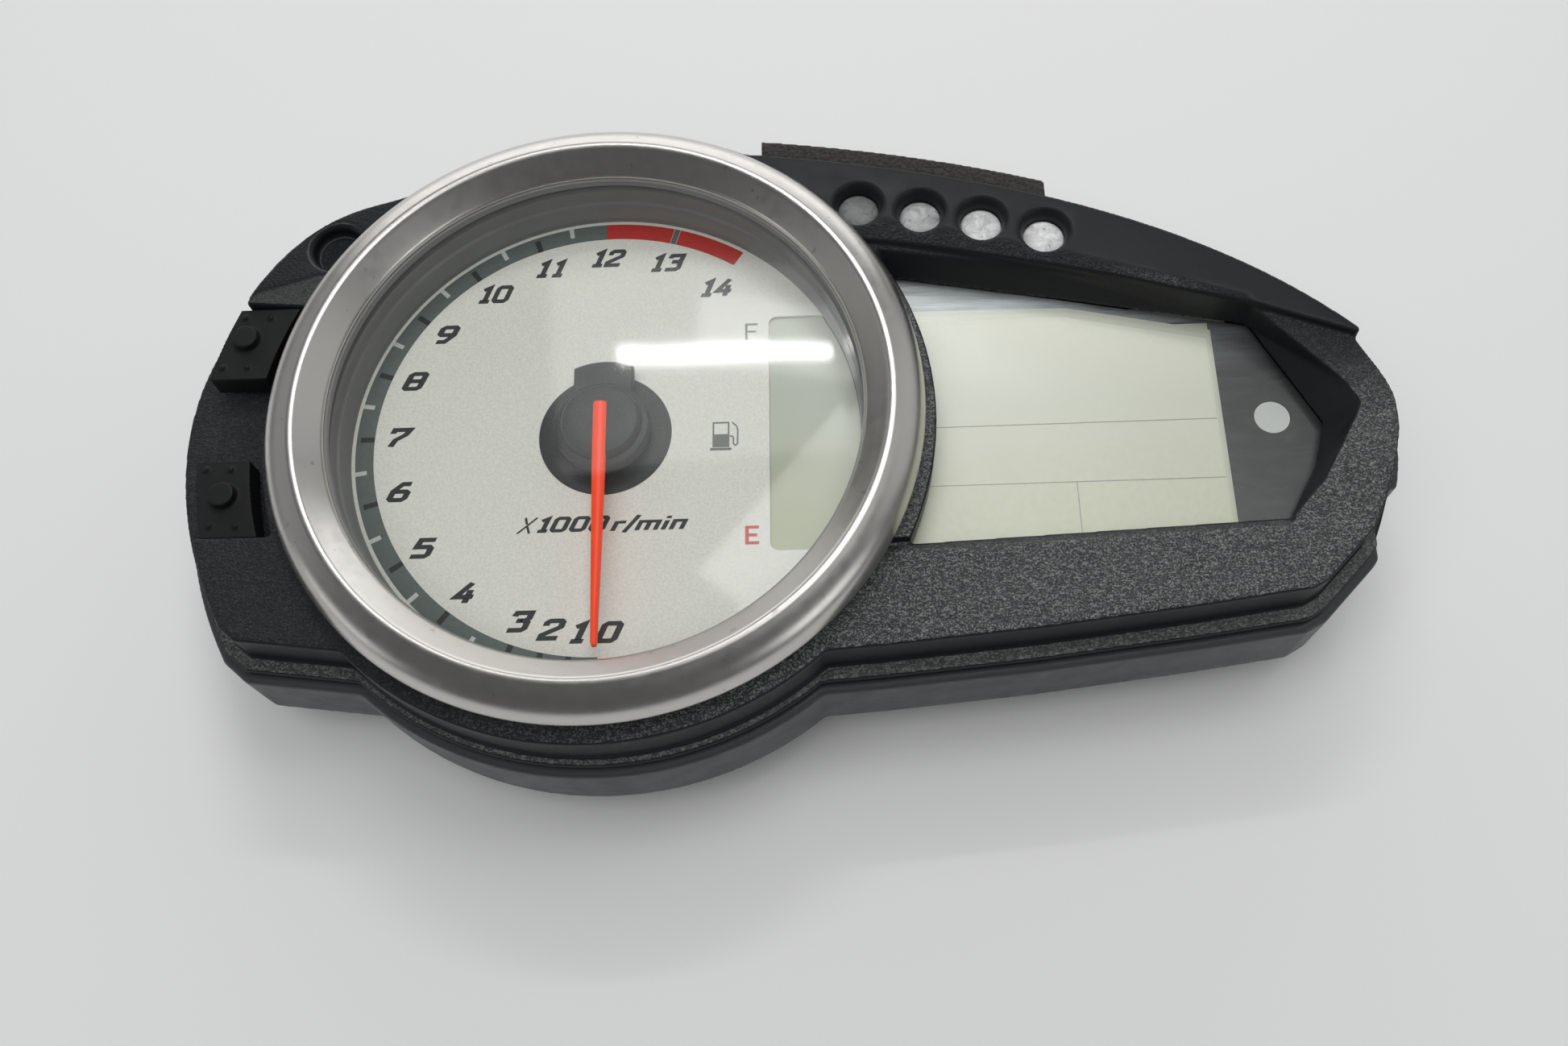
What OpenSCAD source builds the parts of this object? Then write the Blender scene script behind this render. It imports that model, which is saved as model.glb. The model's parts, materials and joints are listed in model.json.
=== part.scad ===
// Motorcycle instrument cluster: round pointer gauge with a side display, as a bench assembly.
// Frame: millimetres, +Z out of the dial towards the rider, +Y towards 12 o'clock, +X towards
// the side display. The origin is on the pointer axis, at the plane the cluster rests on.

/* [Gauge] */
// Radius of the view through the trim ring
view_r = 45; // [44.6:0.1:45.2]
// Height of the trim ring's crest above the rest plane
crest_z = 45.7; // [45:0.1:47]
// Radius of the round part of the front cover
lobe_r = 57; // [56.5:0.1:57.6]
// Height of the dial face
dial_z = 29.5; // [29:0.1:30]
// Angle of the pointer at rest, measured from +X
zero_angle = -89; // [-92:1:-86]

/* [Housing] */
// Height of the front cover's main face
face_z = 37; // [36.5:0.1:37.4]
// Height of the visor above the display
visor_z = 39.5; // [39:0.1:40]
// Height of the display window's outer face
window_z = 31.5; // [31:0.1:32]
// Thickness of the cover's skin
skin = 2.2; // [1.8:0.1:2.4]
// Thickness of the rear case's wall
case_wall = 2.4; // [2:0.1:2.6]
// Top rim of the rear case
rim_z = 26.6; // [26:0.1:26.8]
// Outer face of the rear case's floor
floor_z = 12; // [11.5:0.1:12.5]

/* [Buttons] */
// Travel of the two buttons
button_travel = 0.8; // [0.5:0.1:0.9]
// Height of the button pads' faces
pad_z = 35; // [34:0.1:35.5]
// Radius of the nub in the middle of each pad
nub_r = 2.4; // [2:0.1:2.8]

/* [Gear train] */
// Gear module
gear_m = 0.3; // [0.3:0.05:0.3]
// Teeth of the output gear
output_teeth = 48; // [48:1:48]
// Teeth of the idler's large gear
idler_teeth = 36; // [36:1:36]
// Teeth of both pinions
pinion_teeth = 12; // [12:1:12]

/* [Mounting] */
// Minor radius of the M6 threaded inserts
insert_bore_r = 2.5; // [2.4:0.05:2.6]
// Outer radius of the rubber isolators
isolator_r = 9; // [8.5:0.5:9.5]

/* [Hidden] */
$fn = 96;
e = 0.01; // overlap that keeps unions and cuts clean

// How far the ledge and the case stand out from the body of the cover.
flange_out = 2.5;
case_out = 3.9;
flange_z = 29;
flange_t = 1.8;
flange_r = lobe_r + 1.4;
nose_rise = 1.2; // step of the nose above the main face
case_r = lobe_r + 2.7;

// Stack of the display and its electronics, from the lens down.
lens_t = 1.8;
mask_t = 0.4;
pcb_top = 22;
pcb_t = 1.6;
pcb_bottom = pcb_top - pcb_t;
dial_t = 0.5;

wing_c = [0.8, -0.6]; // centre of the left wing's edge arc
wing_r = 70.4;

case_screw_at = [[-53, 32.5], [-53.5, -33.5], [0, -53.2], [62, -35.5], [112, -29.5], [100, 27],
    [16, 51.2]];
pcb_screw_at = [[-30.4, 30.4], [-30.4, -30.4], [31, -30.5], [70, 25.6], [113, 8]];
mount_at = [[-56, -14], [108, -12], [34, 38]];
pocket_top = [floor_z + 1, floor_z + 0.6, floor_z + 0.2]; // heights of the insert pockets' ends
indicator_at = [[45.2, 39.4], [56.1, 37.5], [66.8, 35.3], [77.6, 32.4]];
upper_nub = [-63.6, 18];
lower_nub = [-63.3, -12.5];
upper_stem = [-62.2, 17.3];
lower_stem = [-63.3, -12.7];
stem_r = 1.8;
warning_at = [114.5, -0.7];
connector_at = [72, -3];
vent_at = [-20, -27];

// Gear centres: the output gear on the pointer axis, the idler beside it, the rotor past that.
output_r = gear_m * output_teeth / 2;
idler_r = gear_m * idler_teeth / 2;
pinion_r = gear_m * pinion_teeth / 2;
idler_at = [-(output_r + pinion_r), 0];
rotor_at = idler_at + [0, -(idler_r + pinion_r)];
motor_floor = 9.4;
motor_top = 20.2;
shaft_r = 0.75;
pivot_r = 0.6;
running = 0.05;

// ---------------------------------------------------------------- outlines

// Points along an arc.
function arc(c, r, a0, a1, n) = [for (i = [0:n]) let (a = a0 + (a1 - a0) * i / n) c + r * [cos(a), sin(a)]];

// Points along a cubic curve between a and d, steered by b and c.
function curve(a, b, c, d, n) = [for (i = [0:n]) let (t = i / n, u = 1 - t)
    u * u * u * a + 3 * u * u * t * b + 3 * u * t * t * c + t * t * t * d];

// Left wing of the body: bottom edge, edge arc, and the curve back to the ring.
module left_wing() polygon(concat(
    [[0, -46.3], [-39.6, -41], [-57, -38.8]],
    arc(wing_c, wing_r, 210.6, 159.5, 24),
    curve([-64.8, 23.9], [-55.3, 44.6], [-43.6, 44], [-37.3, 46.5], 12),
    [[0, 52]]
));

// Right wing of the body: bottom edge, corner, blunt nose, and the visor's long curve.
module right_wing() polygon(concat(
    [[0, -45.5], [47, -42.2], [72, -39.9], [97, -36.9], [114.3, -34.5], [116.6, -33.2], [125.2, -24.6]],
    curve([125.9, -23.6], [136.4, -1.9], [131.3, 0], [127.5, 9.3], 12),
    curve([128.2, 10.6], [108, 31.1], [75, 44.4], [30.2, 50.6], 24),
    [[0, 54]]
));

// The whole outline, grown by out on the wings, with the lobe at radius r.
module outline(out, r) {
    offset(delta = out) left_wing();
    offset(delta = out) right_wing();
    circle(r = r, $fn = 180);
}
module body_2d() outline(0, lobe_r);

// Edge of the ledge beside the buttons, where it bulges out.
module ledge_bulge() polygon(concat([[-50, 0]],
    curve([-67.15, -27], [-76, -9], [-79, 16], [-62.5, 33.2], 24)));

// What the ledge lacks below the nose, moved out by g.
module nose_trim(g) translate([g, 0])
    polygon([[128.4, -26], [128.4, -21.6], [132.6, -13], [145, -13], [145, -26]]);

module flange_2d() {
    difference() {
        outline(flange_out, flange_r);
        nose_trim(0);
    }
    ledge_bulge();
}
module case_2d() difference() {
    outline(case_out, case_r);
    nose_trim(0.8);
}
module inner_body_2d() outline(-skin, lobe_r - skin);

// Display window at the bottom of its recess, grown by g.
module window_2d(g) offset(delta = g) polygon([[40, -25.2], [50, -24.8], [112.8, -22], [119.2, -11.2],
    [121.7, -3], [111.9, 16.4], [78.2, 23.2], [51.3, 28.3], [40, 30.2]]);

// Mouth of the same recess, at the visor.
module mouth_2d(g) offset(delta = g) polygon([[40, -25.2], [50, -24.8], [112.8, -22], [120.9, -13.5],
    [127.3, -2.4], [111.2, 16.3], [84.2, 24.5], [56.8, 31], [40, 34]]);

// The raised visor above the display, from the ring to its tip.
module visor_2d() difference() {
    intersection() {
        body_2d();
        polygon(concat([[20, 72], [20, 37]],
            curve([40, 33.8], [64, 30.2], [88, 23.6], [110.5, 16.5], 8),
            [[127.3, 9.9], [140, 8], [140, 72]]));
    }
    circle(r = 55.6, $fn = 180);
}

// Recess that the two button pads stand in, grown by g inside the cover.
module button_zone(g) difference() {
    translate([-84, -20.8 - g]) square([40, 45.45 + 2 * g]);
    circle(r = lobe_r + 0.3 - g, $fn = 180);
}

// One pad: a slice of the left wing between the ring and the edge, which it passes by over.
module pad_2d(y0, y1, over, inset) difference() {
    intersection() {
        translate([-80, y0 + inset]) square([40, y1 - y0 - 2 * inset]);
        translate(wing_c) circle(r = wing_r + over - inset, $fn = 180);
    }
    circle(r = 60 + inset, $fn = 180);
}

module pcb_2d() {
    circle(r = 46);
    translate([-66.8, -16.5]) square([26.8, 38.5]);
    polygon([[30, -26], [104, -26], [121, -14], [123, 2], [107, 18], [88, 20],
        [86, 34], [60, 42.5], [38, 45], [30, 36]]);
}

// Raised middle of the case's back, over the motor and the connector.
module hump_2d(inset) offset(delta = -inset) {
    circle(r = 40);
    translate([30, -22]) square([60, 38]);
    translate([86, -18]) square([8, 30]);
}

// Straight-sided gear tooth form on pitch radius teeth * m / 2, thinned by play.
module gear_2d(teeth, turn, play = 0.06) {
    r = gear_m * teeth / 2;
    step = 360 / teeth;
    root = r - 1.2 * gear_m;
    tip = r + 0.85 * gear_m;
    wide = step * 0.36 - play / r * 57.3;
    slim = step * 0.12 - play / r * 28.6;
    polygon([for (i = [0:teeth - 1], k = [0:3])
        let (a = turn + i * step + [-wide, -slim, slim, wide][k], q = (k == 0 || k == 3) ? root : tip)
        q * [cos(a), sin(a)]]);
}

// ---------------------------------------------------------------- housing

module rear_case() color([0.13, 0.14, 0.15]) difference() {
    union() {
        translate([0, 0, floor_z + 0.6]) linear_extrude(rim_z - floor_z - 0.6) case_2d();
        translate([0, 0, floor_z]) linear_extrude(0.6 + e) outline(case_out - 0.6, case_r - 0.6);
        translate([0, 0, 1]) linear_extrude(floor_z) hump_2d(0);
        linear_extrude(1 + e) hump_2d(1);
        for (p = mount_at) translate([p.x, p.y, 3.5]) cylinder(r = 8, h = floor_z - 3.5 + e);
    }
    difference() {
        translate([0, 0, floor_z + 2]) linear_extrude(rim_z) outline(case_out - case_wall, case_r - case_wall);
        for (p = case_screw_at) translate([p.x, p.y, 0]) cylinder(r = 3.6, h = 19.8);
        for (p = pcb_screw_at) translate([p.x, p.y, 0]) cylinder(r = 3, h = pcb_bottom);
    }
    translate([0, 0, 2]) linear_extrude(floor_z) hump_2d(2.2);
    for (p = case_screw_at) translate([p.x, p.y, floor_z - 1]) {
        cylinder(r = 1.7, h = 12);
        cylinder(r = 3.2, h = 5);
    }
    for (p = pcb_screw_at) translate([p.x, p.y, floor_z + 3]) cylinder(r = 1.25, h = 9);
    for (i = [0:2]) translate([mount_at[i].x, mount_at[i].y, -1]) cylinder(r = 4, h = pocket_top[i] + 1);
    translate([connector_at.x - 17.2, connector_at.y - 8.7, -1]) cube([34.4, 17.4, 4]);
    translate([vent_at.x, vent_at.y, -1]) cylinder(r = 3, h = 4);
    translate([vent_at.x, vent_at.y, -1]) cylinder(r = 5.2, h = 1.8);
}

module front_cover() color([0.12, 0.13, 0.14]) difference() {
    union() {
        // Shell: ledge, side wall, main face, visor and nose.
        difference() {
            union() {
                translate([0, 0, flange_z - flange_t]) linear_extrude(flange_t) flange_2d();
                translate([0, 0, flange_z - flange_t]) linear_extrude(face_z - flange_z + flange_t) body_2d();
                translate([0, 0, face_z - e]) linear_extrude(visor_z - face_z) visor_2d();
                nose();
            }
            linear_extrude(face_z - skin) inner_body_2d();
            translate([0, 0, face_z - skin - 1]) linear_extrude(visor_z - face_z + 1)
                offset(delta = -skin) visor_2d();
        }
        // Walls of the window recess, lip round the gauge, button floor and screw posts.
        translate([0, 0, window_z]) linear_extrude(face_z - window_z) intersection() {
            body_2d();
            difference() {
                mouth_2d(1.2);
                circle(r = 54.6, $fn = 180);
            }
        }
        translate([0, 0, 30]) cylinder(r = 49.8, h = 6.4);
        translate([0, 0, flange_z - flange_t]) linear_extrude(flange_t) intersection() {
            flange_2d();
            button_zone(2);
        }
        translate([0, 0, flange_z - e]) linear_extrude(face_z - flange_z) intersection() {
            body_2d();
            button_zone(2);
        }
        for (p = case_screw_at) translate([p.x, p.y, 20]) cylinder(r = 2.9, h = face_z - skin - 20 + e);
        translate([-49, 35.8, face_z - 5]) cylinder(r = 6, h = 4);
        for (p = indicator_at) translate([p.x, p.y, face_z - skin]) cylinder(r = 4.9, h = visor_z - face_z);
    }
    // Gauge opening with the shelf that the bezel's flange sits on.
    translate([0, 0, face_z - 0.6]) cylinder(r = 50.4, h = 10, $fn = 180);
    translate([0, 0, 26]) cylinder(r = 47.6, h = 20, $fn = 180);
    // Recess that narrows from the mouth down to the window.
    difference() {
        hull() {
            translate([0, 0, visor_z + 0.1]) linear_extrude(e) mouth_2d(0);
            translate([0, 0, window_z - 0.1]) linear_extrude(e) window_2d(0);
        }
        cylinder(r = lobe_r, h = 60, $fn = 180);
    }
    translate([0, 0, flange_z]) linear_extrude(20) button_zone(0);
    for (p = [upper_stem, lower_stem]) translate([p.x, p.y, 20]) cylinder(r = stem_r + 0.1, h = 12);
    for (p = case_screw_at) translate([p.x, p.y, 19]) cylinder(r = 1.5, h = 12);
    for (p = indicator_at) translate([p.x, p.y, 0]) {
        translate([0, 0, 30]) cylinder(r = 3.7, h = 12);
        translate([0, 0, visor_z - 1.6]) cylinder(r1 = 3.7, r2 = 4.6, h = 1.6 + e);
    }
    translate([-49, 35.8, face_z - 3]) cylinder(r = 4.5, h = 4);
    facet_cut();
}

// Nose of the cover: a low step beside the window whose face falls away to the lower panel.
module nose() intersection() {
    translate([112, 0, 0]) rotate([90, 0, 90]) linear_extrude(30)
        polygon([[30, face_z - 1], [30, face_z + nose_rise], [-3, face_z + nose_rise], [-22, face_z + e],
            [-22, face_z - 1]]);
    translate([0, 0, 30]) linear_extrude(20) body_2d();
}

// Slanted facet between the upper left face and the button recess.
module facet_cut() polyhedron(
    points = [[-67, 24.4, face_z + 0.1], [-49.5, 29.9, face_z + 0.1], [-52.2, 22.6, face_z + 0.1],
        [-52.2, 22.6, face_z - 3.4]],
    faces = [[0, 1, 2], [0, 3, 1], [1, 3, 2], [0, 2, 3]]);

module case_seal() color([0.05, 0.05, 0.05]) translate([0, 0, rim_z])
    linear_extrude(flange_z - flange_t - rim_z) difference() {
        outline(case_out - 1.6, case_r - 1.6);
        outline(case_out - 2.3, case_r - 2.3);
    }

module case_screws() color([0.55, 0.56, 0.58]) for (p = case_screw_at) translate([p.x, p.y, 0]) difference() {
    union() {
        translate([0, 0, 13.4]) cylinder(r = 2.8, h = 2.6);
        translate([0, 0, 15]) cylinder(r = 1.45, h = 14);
    }
    translate([0, 0, 13]) cylinder(r = 1.2, h = 1.8, $fn = 6);
}

module breather_vent() color([0.2, 0.2, 0.21]) translate([vent_at.x, vent_at.y, 0]) difference() {
    union() {
        translate([0, 0, 0.1]) cylinder(r = 5, h = 0.7);
        translate([0, 0, 0.8]) cylinder(r = 2.95, h = 2.6);
    }
    cylinder(r = 1.1, h = 3);
}

module foam_strip() color([0.3, 0.28, 0.25]) translate([0, 0, 30.6]) linear_extrude(8) intersection() {
    difference() {
        offset(delta = 3.6) right_wing();
        offset(delta = 0.05) right_wing();
    }
    translate([28, 34]) square([50.4, 30]);
}

// ---------------------------------------------------------------- gauge front

module trim_ring() color([0.62, 0.6, 0.57]) rotate_extrude($fn = 180) polygon(concat(
    [[view_r, 40.1]],
    curve([view_r, 42], [view_r + 1.5, 43.7], [view_r + 3, 45.4], [view_r + 4.6, crest_z], 8),
    curve([view_r + 5, crest_z], [view_r + 6.8, crest_z - 0.3], [view_r + 9.4, 43], [55, 39.4], 10),
    [[55, face_z + 0.1], [53.6, face_z + 0.1], [53.6, 39.3], [49.8, 43.4], [47.2, 41.2], [47.2, 40.1]]
));

module dial_lens() color([0.85, 0.9, 0.92, 0.3]) rotate_extrude($fn = 180) polygon(concat(
    [[0, 39.6]],
    [[0, 41.4]],
    curve([15, 41.3], [25, 41.1], [35, 40.6], [44.8, 39.9], 6),
    [[49.8, 39.8], [49.8, 38], [44.8, 38]],
    curve([44, 38.1], [35, 38.8], [25, 39.3], [15, 39.5], 6)
));

module lens_seal() color([0.05, 0.05, 0.05]) translate([0, 0, 37.5]) difference() {
    cylinder(r = 49.6, h = 0.5, $fn = 180);
    translate([0, 0, -1]) cylinder(r = 46.8, h = 3, $fn = 180);
}

// Funnel wall between the dial and the lens.
module dial_bezel() color([0.35, 0.35, 0.35]) rotate_extrude($fn = 180) polygon([
    [44.5, dial_z], [46.4, dial_z], [46.4, 36.5], [50, 36.5], [50, 37.5], [45.6, 37.5]
]);

module dial_plate() color([0.78, 0.77, 0.75]) translate([0, 0, dial_z - dial_t]) difference() {
    cylinder(r = 44.6, h = dial_t, $fn = 180);
    translate([0, 0, -1]) cylinder(r = 2, h = 3);
    translate([28.6, -22.7, -1]) linear_extrude(3) offset(r = 1.5, $fn = 48) offset(delta = -1.5)
        square([30, 45.4]);
}

module fuel_lcd() color([0.62, 0.65, 0.55]) translate([0, 0, 26.2]) linear_extrude(2.7) intersection() {
    circle(r = 44.4, $fn = 180);
    translate([27, -24.4]) square([30, 48.8]);
}

module dial_light_guide() color([0.93, 0.94, 0.95]) difference() {
    union() {
        translate([0, 0, 24.4]) cylinder(r = 44.4, h = 1.7, $fn = 180);
        translate([0, 0, 26]) linear_extrude(dial_z - dial_t - 26) difference() {
            circle(r = 44.4, $fn = 180);
            translate([26.8, -50]) square([40, 100]);
        }
        for (a = [45:90:315]) rotate(a) translate([36, 0, pcb_top]) cylinder(r = 1.8, h = 3);
    }
    cylinder(r = 2.5, h = 60);
    translate([28.6, -24.2, 20]) cube([9, 1.9, 6.2 - e]);
}

module window_lens() color([0.8, 0.86, 0.85, 0.3]) translate([0, 0, window_z - lens_t])
    linear_extrude(lens_t - e) difference() {
        window_2d(1.5);
        circle(r = 54.9, $fn = 180);
    }

module window_mask() color([0.17, 0.18, 0.18]) translate([0, 0, window_z - lens_t - mask_t - 0.1])
    linear_extrude(mask_t) difference() {
        window_2d(1.3);
        circle(r = 52, $fn = 180);
        translate([40, -23.6]) square([66.1, 42.2]);
        translate(warning_at) circle(r = 3.1);
    }

module main_lcd() color([0.78, 0.82, 0.74]) translate([48, -25, 26.3]) cube([60.5, 46.5, 2.8]);

module lcd_backlight() color([0.93, 0.94, 0.95]) translate([50.5, -22, 23.6]) cube([55.5, 42, 2.6]);

module lcd_frame() color([0.85, 0.85, 0.83]) difference() {
    translate([47.2, -26.2, pcb_top + e]) cube([62.2, 48.5, 6.6]);
    translate([49.6, -24.2, pcb_top - 1]) cube([57.4, 44.9, 5.2]);
    translate([47.8, -25.2, 26.2]) cube([60.9, 46.9, 5]);
}

module zebra_main() color([0.75, 0.4, 0.45]) translate([50.5, -24, pcb_top + 0.1]) cube([55.5, 1.6, 4.1]);

module zebra_fuel() color([0.75, 0.4, 0.45]) translate([29, -24, pcb_top + 0.1]) cube([8, 1.5, 4]);

// Four frosted discs in the visor, each the head of its own light pipe.
module indicator_lens(i) color([0.86, 0.87, 0.87])
    translate([indicator_at[i].x, indicator_at[i].y, 0]) union() {
    translate([0, 0, 31.4]) cylinder(r = 3.6, h = visor_z - 2.3 - 31.4);
    translate([0, 0, 31.4]) cylinder(r = 4.6, h = 1.2);
}

module light_tunnel() color([0.9, 0.9, 0.88]) difference() {
    hull() for (i = [0, 3]) translate([indicator_at[i].x, indicator_at[i].y, pcb_top + e])
        cylinder(r = 5.2, h = 9.2, $fn = 32);
    for (p = indicator_at) translate([p.x, p.y, 20]) cylinder(r = 3.4, h = 20);
}

module warning_lens() color([0.9, 0.9, 0.88]) translate([warning_at.x, warning_at.y, 0]) {
    translate([0, 0, 24]) cylinder(r = 3, h = window_z - lens_t - 0.1 - 24);
    translate([0, 0, pcb_top + e]) difference() {
        cylinder(r = 4.4, h = 4);
        translate([0, 0, -e]) cylinder(r = 2.4, h = 2);
    }
}

// ---------------------------------------------------------------- electronics

module pcb() color([0.05, 0.3, 0.16]) translate([0, 0, pcb_bottom]) difference() {
    linear_extrude(pcb_t) pcb_2d();
    translate([0, 0, -1]) cylinder(r = 2.5, h = 4);
    for (p = pcb_screw_at) translate([p.x, p.y, -1]) cylinder(r = 1.5, h = 4);
}

module pcb_screws() color([0.7, 0.7, 0.72]) for (p = pcb_screw_at) translate([p.x, p.y, 0]) difference() {
    union() {
        translate([0, 0, 15.4]) cylinder(r = 1.2, h = pcb_top - 15.4);
        translate([0, 0, pcb_top]) cylinder(r = 2.5, h = 1.6);
    }
    for (a = [0, 90]) translate([0, 0, pcb_top + 1.2]) rotate(a) cube([2.8, 0.6, 1.2], center = true);
}

module circuit_chips() color([0.1, 0.1, 0.11]) {
    translate([20, -12, pcb_bottom - 1.6]) cube([14, 14, 1.6 - e]);
    translate([20, 10, pcb_bottom - 1.7]) cube([10, 7.5, 1.7 - e]);
    translate([-36, 8, pcb_bottom - 2.3]) cube([6.5, 10, 2.3 - e]);
    for (x = [40, 49]) translate([x, 9, pcb_bottom - 7.7]) cylinder(r = 3.15, h = 7.7 - e);
}

module backlight_leds() color([0.95, 0.93, 0.8]) {
    for (a = [15:30:345]) rotate(a) translate([21.6, -1.2, pcb_top + e]) cube([2.8, 2.4, 1.1]);
    for (x = [58, 70, 86, 98], y = [-14, 0, 14])
        translate([x - 1.4, y - 1.2, pcb_top + e]) cube([2.8, 2.4, 1.1]);
}

module indicator_leds() color([0.95, 0.93, 0.8]) for (p = concat(indicator_at, [warning_at]))
    translate([p.x - 1.3, p.y - 1.1, pcb_top + e]) cube([2.6, 2.2, 1]);

module switch_body(at) color([0.15, 0.15, 0.16]) translate([at.x, at.y, pcb_top + e]) difference() {
    translate([-3, -3, 0]) cube([6, 6, 3.2]);
    translate([0, 0, 1.4]) cylinder(r = 1.75, h = 3);
}

module connector_housing() color([0.8, 0.8, 0.78]) translate([connector_at.x, connector_at.y, 0]) difference() {
    union() {
        translate([-15, -6.5, 0.6]) cube([30, 13, pcb_bottom - 0.6 - e]);
        translate([-17, -8.4, 3.6]) cube([34, 16.8, 2]);
    }
    translate([-13.2, -4.7, 0]) cube([26.4, 9.4, 13]);
    translate([-2.5, 4, 0]) cube([5, 2.2, 11]);
    for (k = [0:7], y = [-1.5, 1.5]) translate([-10.5 + 3 * k, y, 12]) cube([0.8, 0.8, 20], center = true);
}

module connector_pins() color([0.8, 0.66, 0.3]) for (k = [0:7], y = [-1.5, 1.5])
    translate([connector_at.x - 10.5 + 3 * k, connector_at.y + y, 0]) translate([-0.35, -0.35, 4])
        cube([0.7, 0.7, pcb_bottom - 4 - e]);

module connector_seal() color([0.5, 0.2, 0.1]) translate([connector_at.x, connector_at.y, 2.1]) difference() {
    translate([-17, -8.4, 0]) cube([34, 16.8, 1.4]);
    translate([-15.1, -6.6, -1]) cube([30.2, 13.2, 4]);
}

// ---------------------------------------------------------------- pointer and its motor

module motor_case_2d(inset) offset(delta = -inset)
    polygon([[-23, -20], [6, -20], [11, -14], [11, 11], [-17, 11], [-23, 6]]);

module motor_case() color([0.12, 0.12, 0.13]) {
    difference() {
        translate([0, 0, motor_floor + 1]) linear_extrude(motor_top - motor_floor - 1) motor_case_2d(0);
        translate([0, 0, motor_floor]) linear_extrude(motor_top - motor_floor - 1) motor_case_2d(1);
        cylinder(r = shaft_r + running, h = 60);
        translate([rotor_at.x, rotor_at.y, motor_top - 1.4]) cylinder(r = pivot_r + running, h = 1.1);
    }
    translate([idler_at.x, idler_at.y, motor_floor + 1])
        cylinder(r = pivot_r, h = motor_top - motor_floor - 1.5);
}

module motor_cover() color([0.16, 0.16, 0.17]) difference() {
    translate([0, 0, motor_floor]) linear_extrude(1 - e) motor_case_2d(0);
    translate([0, 0, motor_floor + 0.4]) cylinder(r = shaft_r + running, h = 2);
    translate([rotor_at.x, rotor_at.y, motor_floor + 0.4]) cylinder(r = pivot_r + running, h = 2);
}

// Pole plate round the rotor, with the two arms that the windings sit on.
module motor_stator() color([0.5, 0.51, 0.53]) translate([0, 0, 16]) linear_extrude(1) difference() {
    union() {
        translate([-14.4, -12.4]) square([10, 10]);
        translate([-20.6, -17.6]) square([17.2, 2]);
        translate([-5.4, -17.6]) square([2, 6]);
        translate([-20.6, -17.6]) square([2, 15.2]);
        translate([-20.6, -4.4]) square([7, 2]);
    }
    translate(rotor_at) circle(r = 3.5);
}

// Copper winding round one arm of the stator.
module coil(at, size) color([0.75, 0.4, 0.2]) translate([at.x, at.y, 16.5]) difference() {
    cube([size.x, size.y, 4.4], center = true);
    cube(size.x > size.y ? [size.x + 1, 2.1, 1.1] : [2.1, size.y + 1, 1.1], center = true);
}

module rotor_magnet() color([0.3, 0.3, 0.32]) translate([rotor_at.x, rotor_at.y, 14.4]) difference() {
    cylinder(r = 3, h = 4);
    translate([0, 0, -1]) cylinder(r = 0.9, h = 6);
}

module rotor_pinion() color([0.92, 0.92, 0.9]) translate([rotor_at.x, rotor_at.y, 0]) {
    translate([0, 0, 10.6]) linear_extrude(1.8) gear_2d(pinion_teeth, 90 + 180 / pinion_teeth);
    translate([0, 0, 12.3]) cylinder(r = 0.9, h = 6.3);
    translate([0, 0, motor_floor + 0.5]) cylinder(r = pivot_r, h = 9.8);
}

module idler_gear() color([0.92, 0.92, 0.9]) translate([idler_at.x, idler_at.y, 0]) difference() {
    union() {
        translate([0, 0, 10.7]) linear_extrude(1.3) gear_2d(idler_teeth, -90);
        translate([0, 0, 12 - e]) linear_extrude(2.1) gear_2d(pinion_teeth, 0);
        translate([0, 0, 14]) cylinder(r = 1.2, h = 1.2);
    }
    cylinder(r = pivot_r + running, h = 40);
}

module output_gear() color([0.92, 0.92, 0.9]) difference() {
    union() {
        translate([0, 0, 12.5]) linear_extrude(1.4) gear_2d(output_teeth, 180 / output_teeth);
        translate([0, 0, 13.8]) cylinder(r = 2, h = 1.4);
        translate([0, 0, motor_floor + 0.5]) cylinder(r = shaft_r, h = 34 - motor_floor - 0.5);
    }
    for (a = [30:60:330]) rotate(a) translate([4.3, 0, 10]) cylinder(r = 1.3, h = 6);
}

// Flat bar that tapers from the hub to the tip, at rest over the zero mark.
module pointer_2d(g) rotate(zero_angle) polygon([[-3.1 - g, -1.1 - g], [8, -1.15 - g], [40.6 + g, -0.5 - g],
    [40.6 + g, 0.5 + g], [8, 1.15 + g], [-3.1 - g, 1.1 + g]]);

module needle() color([0.95, 0.25, 0.1]) translate([0, 0, 34.7]) linear_extrude(1.7) pointer_2d(0);

module needle_cap() color([0.08, 0.08, 0.08]) difference() {
    union() {
        translate([0, 0, 31]) cylinder(r1 = 8.3, r2 = 8, h = 2.4);
        translate([0, 0, 33.4 - e]) cylinder(r1 = 7, r2 = 6.3, h = 2);
        translate([0, 0, 31]) linear_extrude(2) intersection() {
            circle(r = 12.6);
            rotate(zero_angle) translate([-13, -5.2]) square([13, 10.4]);
        }
    }
    translate([0, 0, 34.7]) linear_extrude(3) pointer_2d(0.02);
    translate([0, 0, 30]) cylinder(r = shaft_r + 0.01, h = 4 + e);
}

// ---------------------------------------------------------------- buttons

module button(at, stem_at, y0, y1, over, bumps) color([0.1, 0.1, 0.11]) difference() {
    union() {
        translate([0, 0, 30.3]) linear_extrude(pad_z - 30.3) pad_2d(y0, y1, over, 0);
        translate([at.x, at.y, pad_z - e]) cylinder(r1 = nub_r, r2 = nub_r - 0.25, h = 1.5);
        for (b = bumps) translate([b.x, b.y, pad_z - e]) cylinder(r1 = 0.6, r2 = 0.35, h = 0.5);
    }
    difference() {
        translate([0, 0, 30]) linear_extrude(3.4) pad_2d(y0, y1, over, 1.3);
        translate([stem_at.x, stem_at.y, 20]) cylinder(r = stem_r, h = 20);
    }
}

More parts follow.
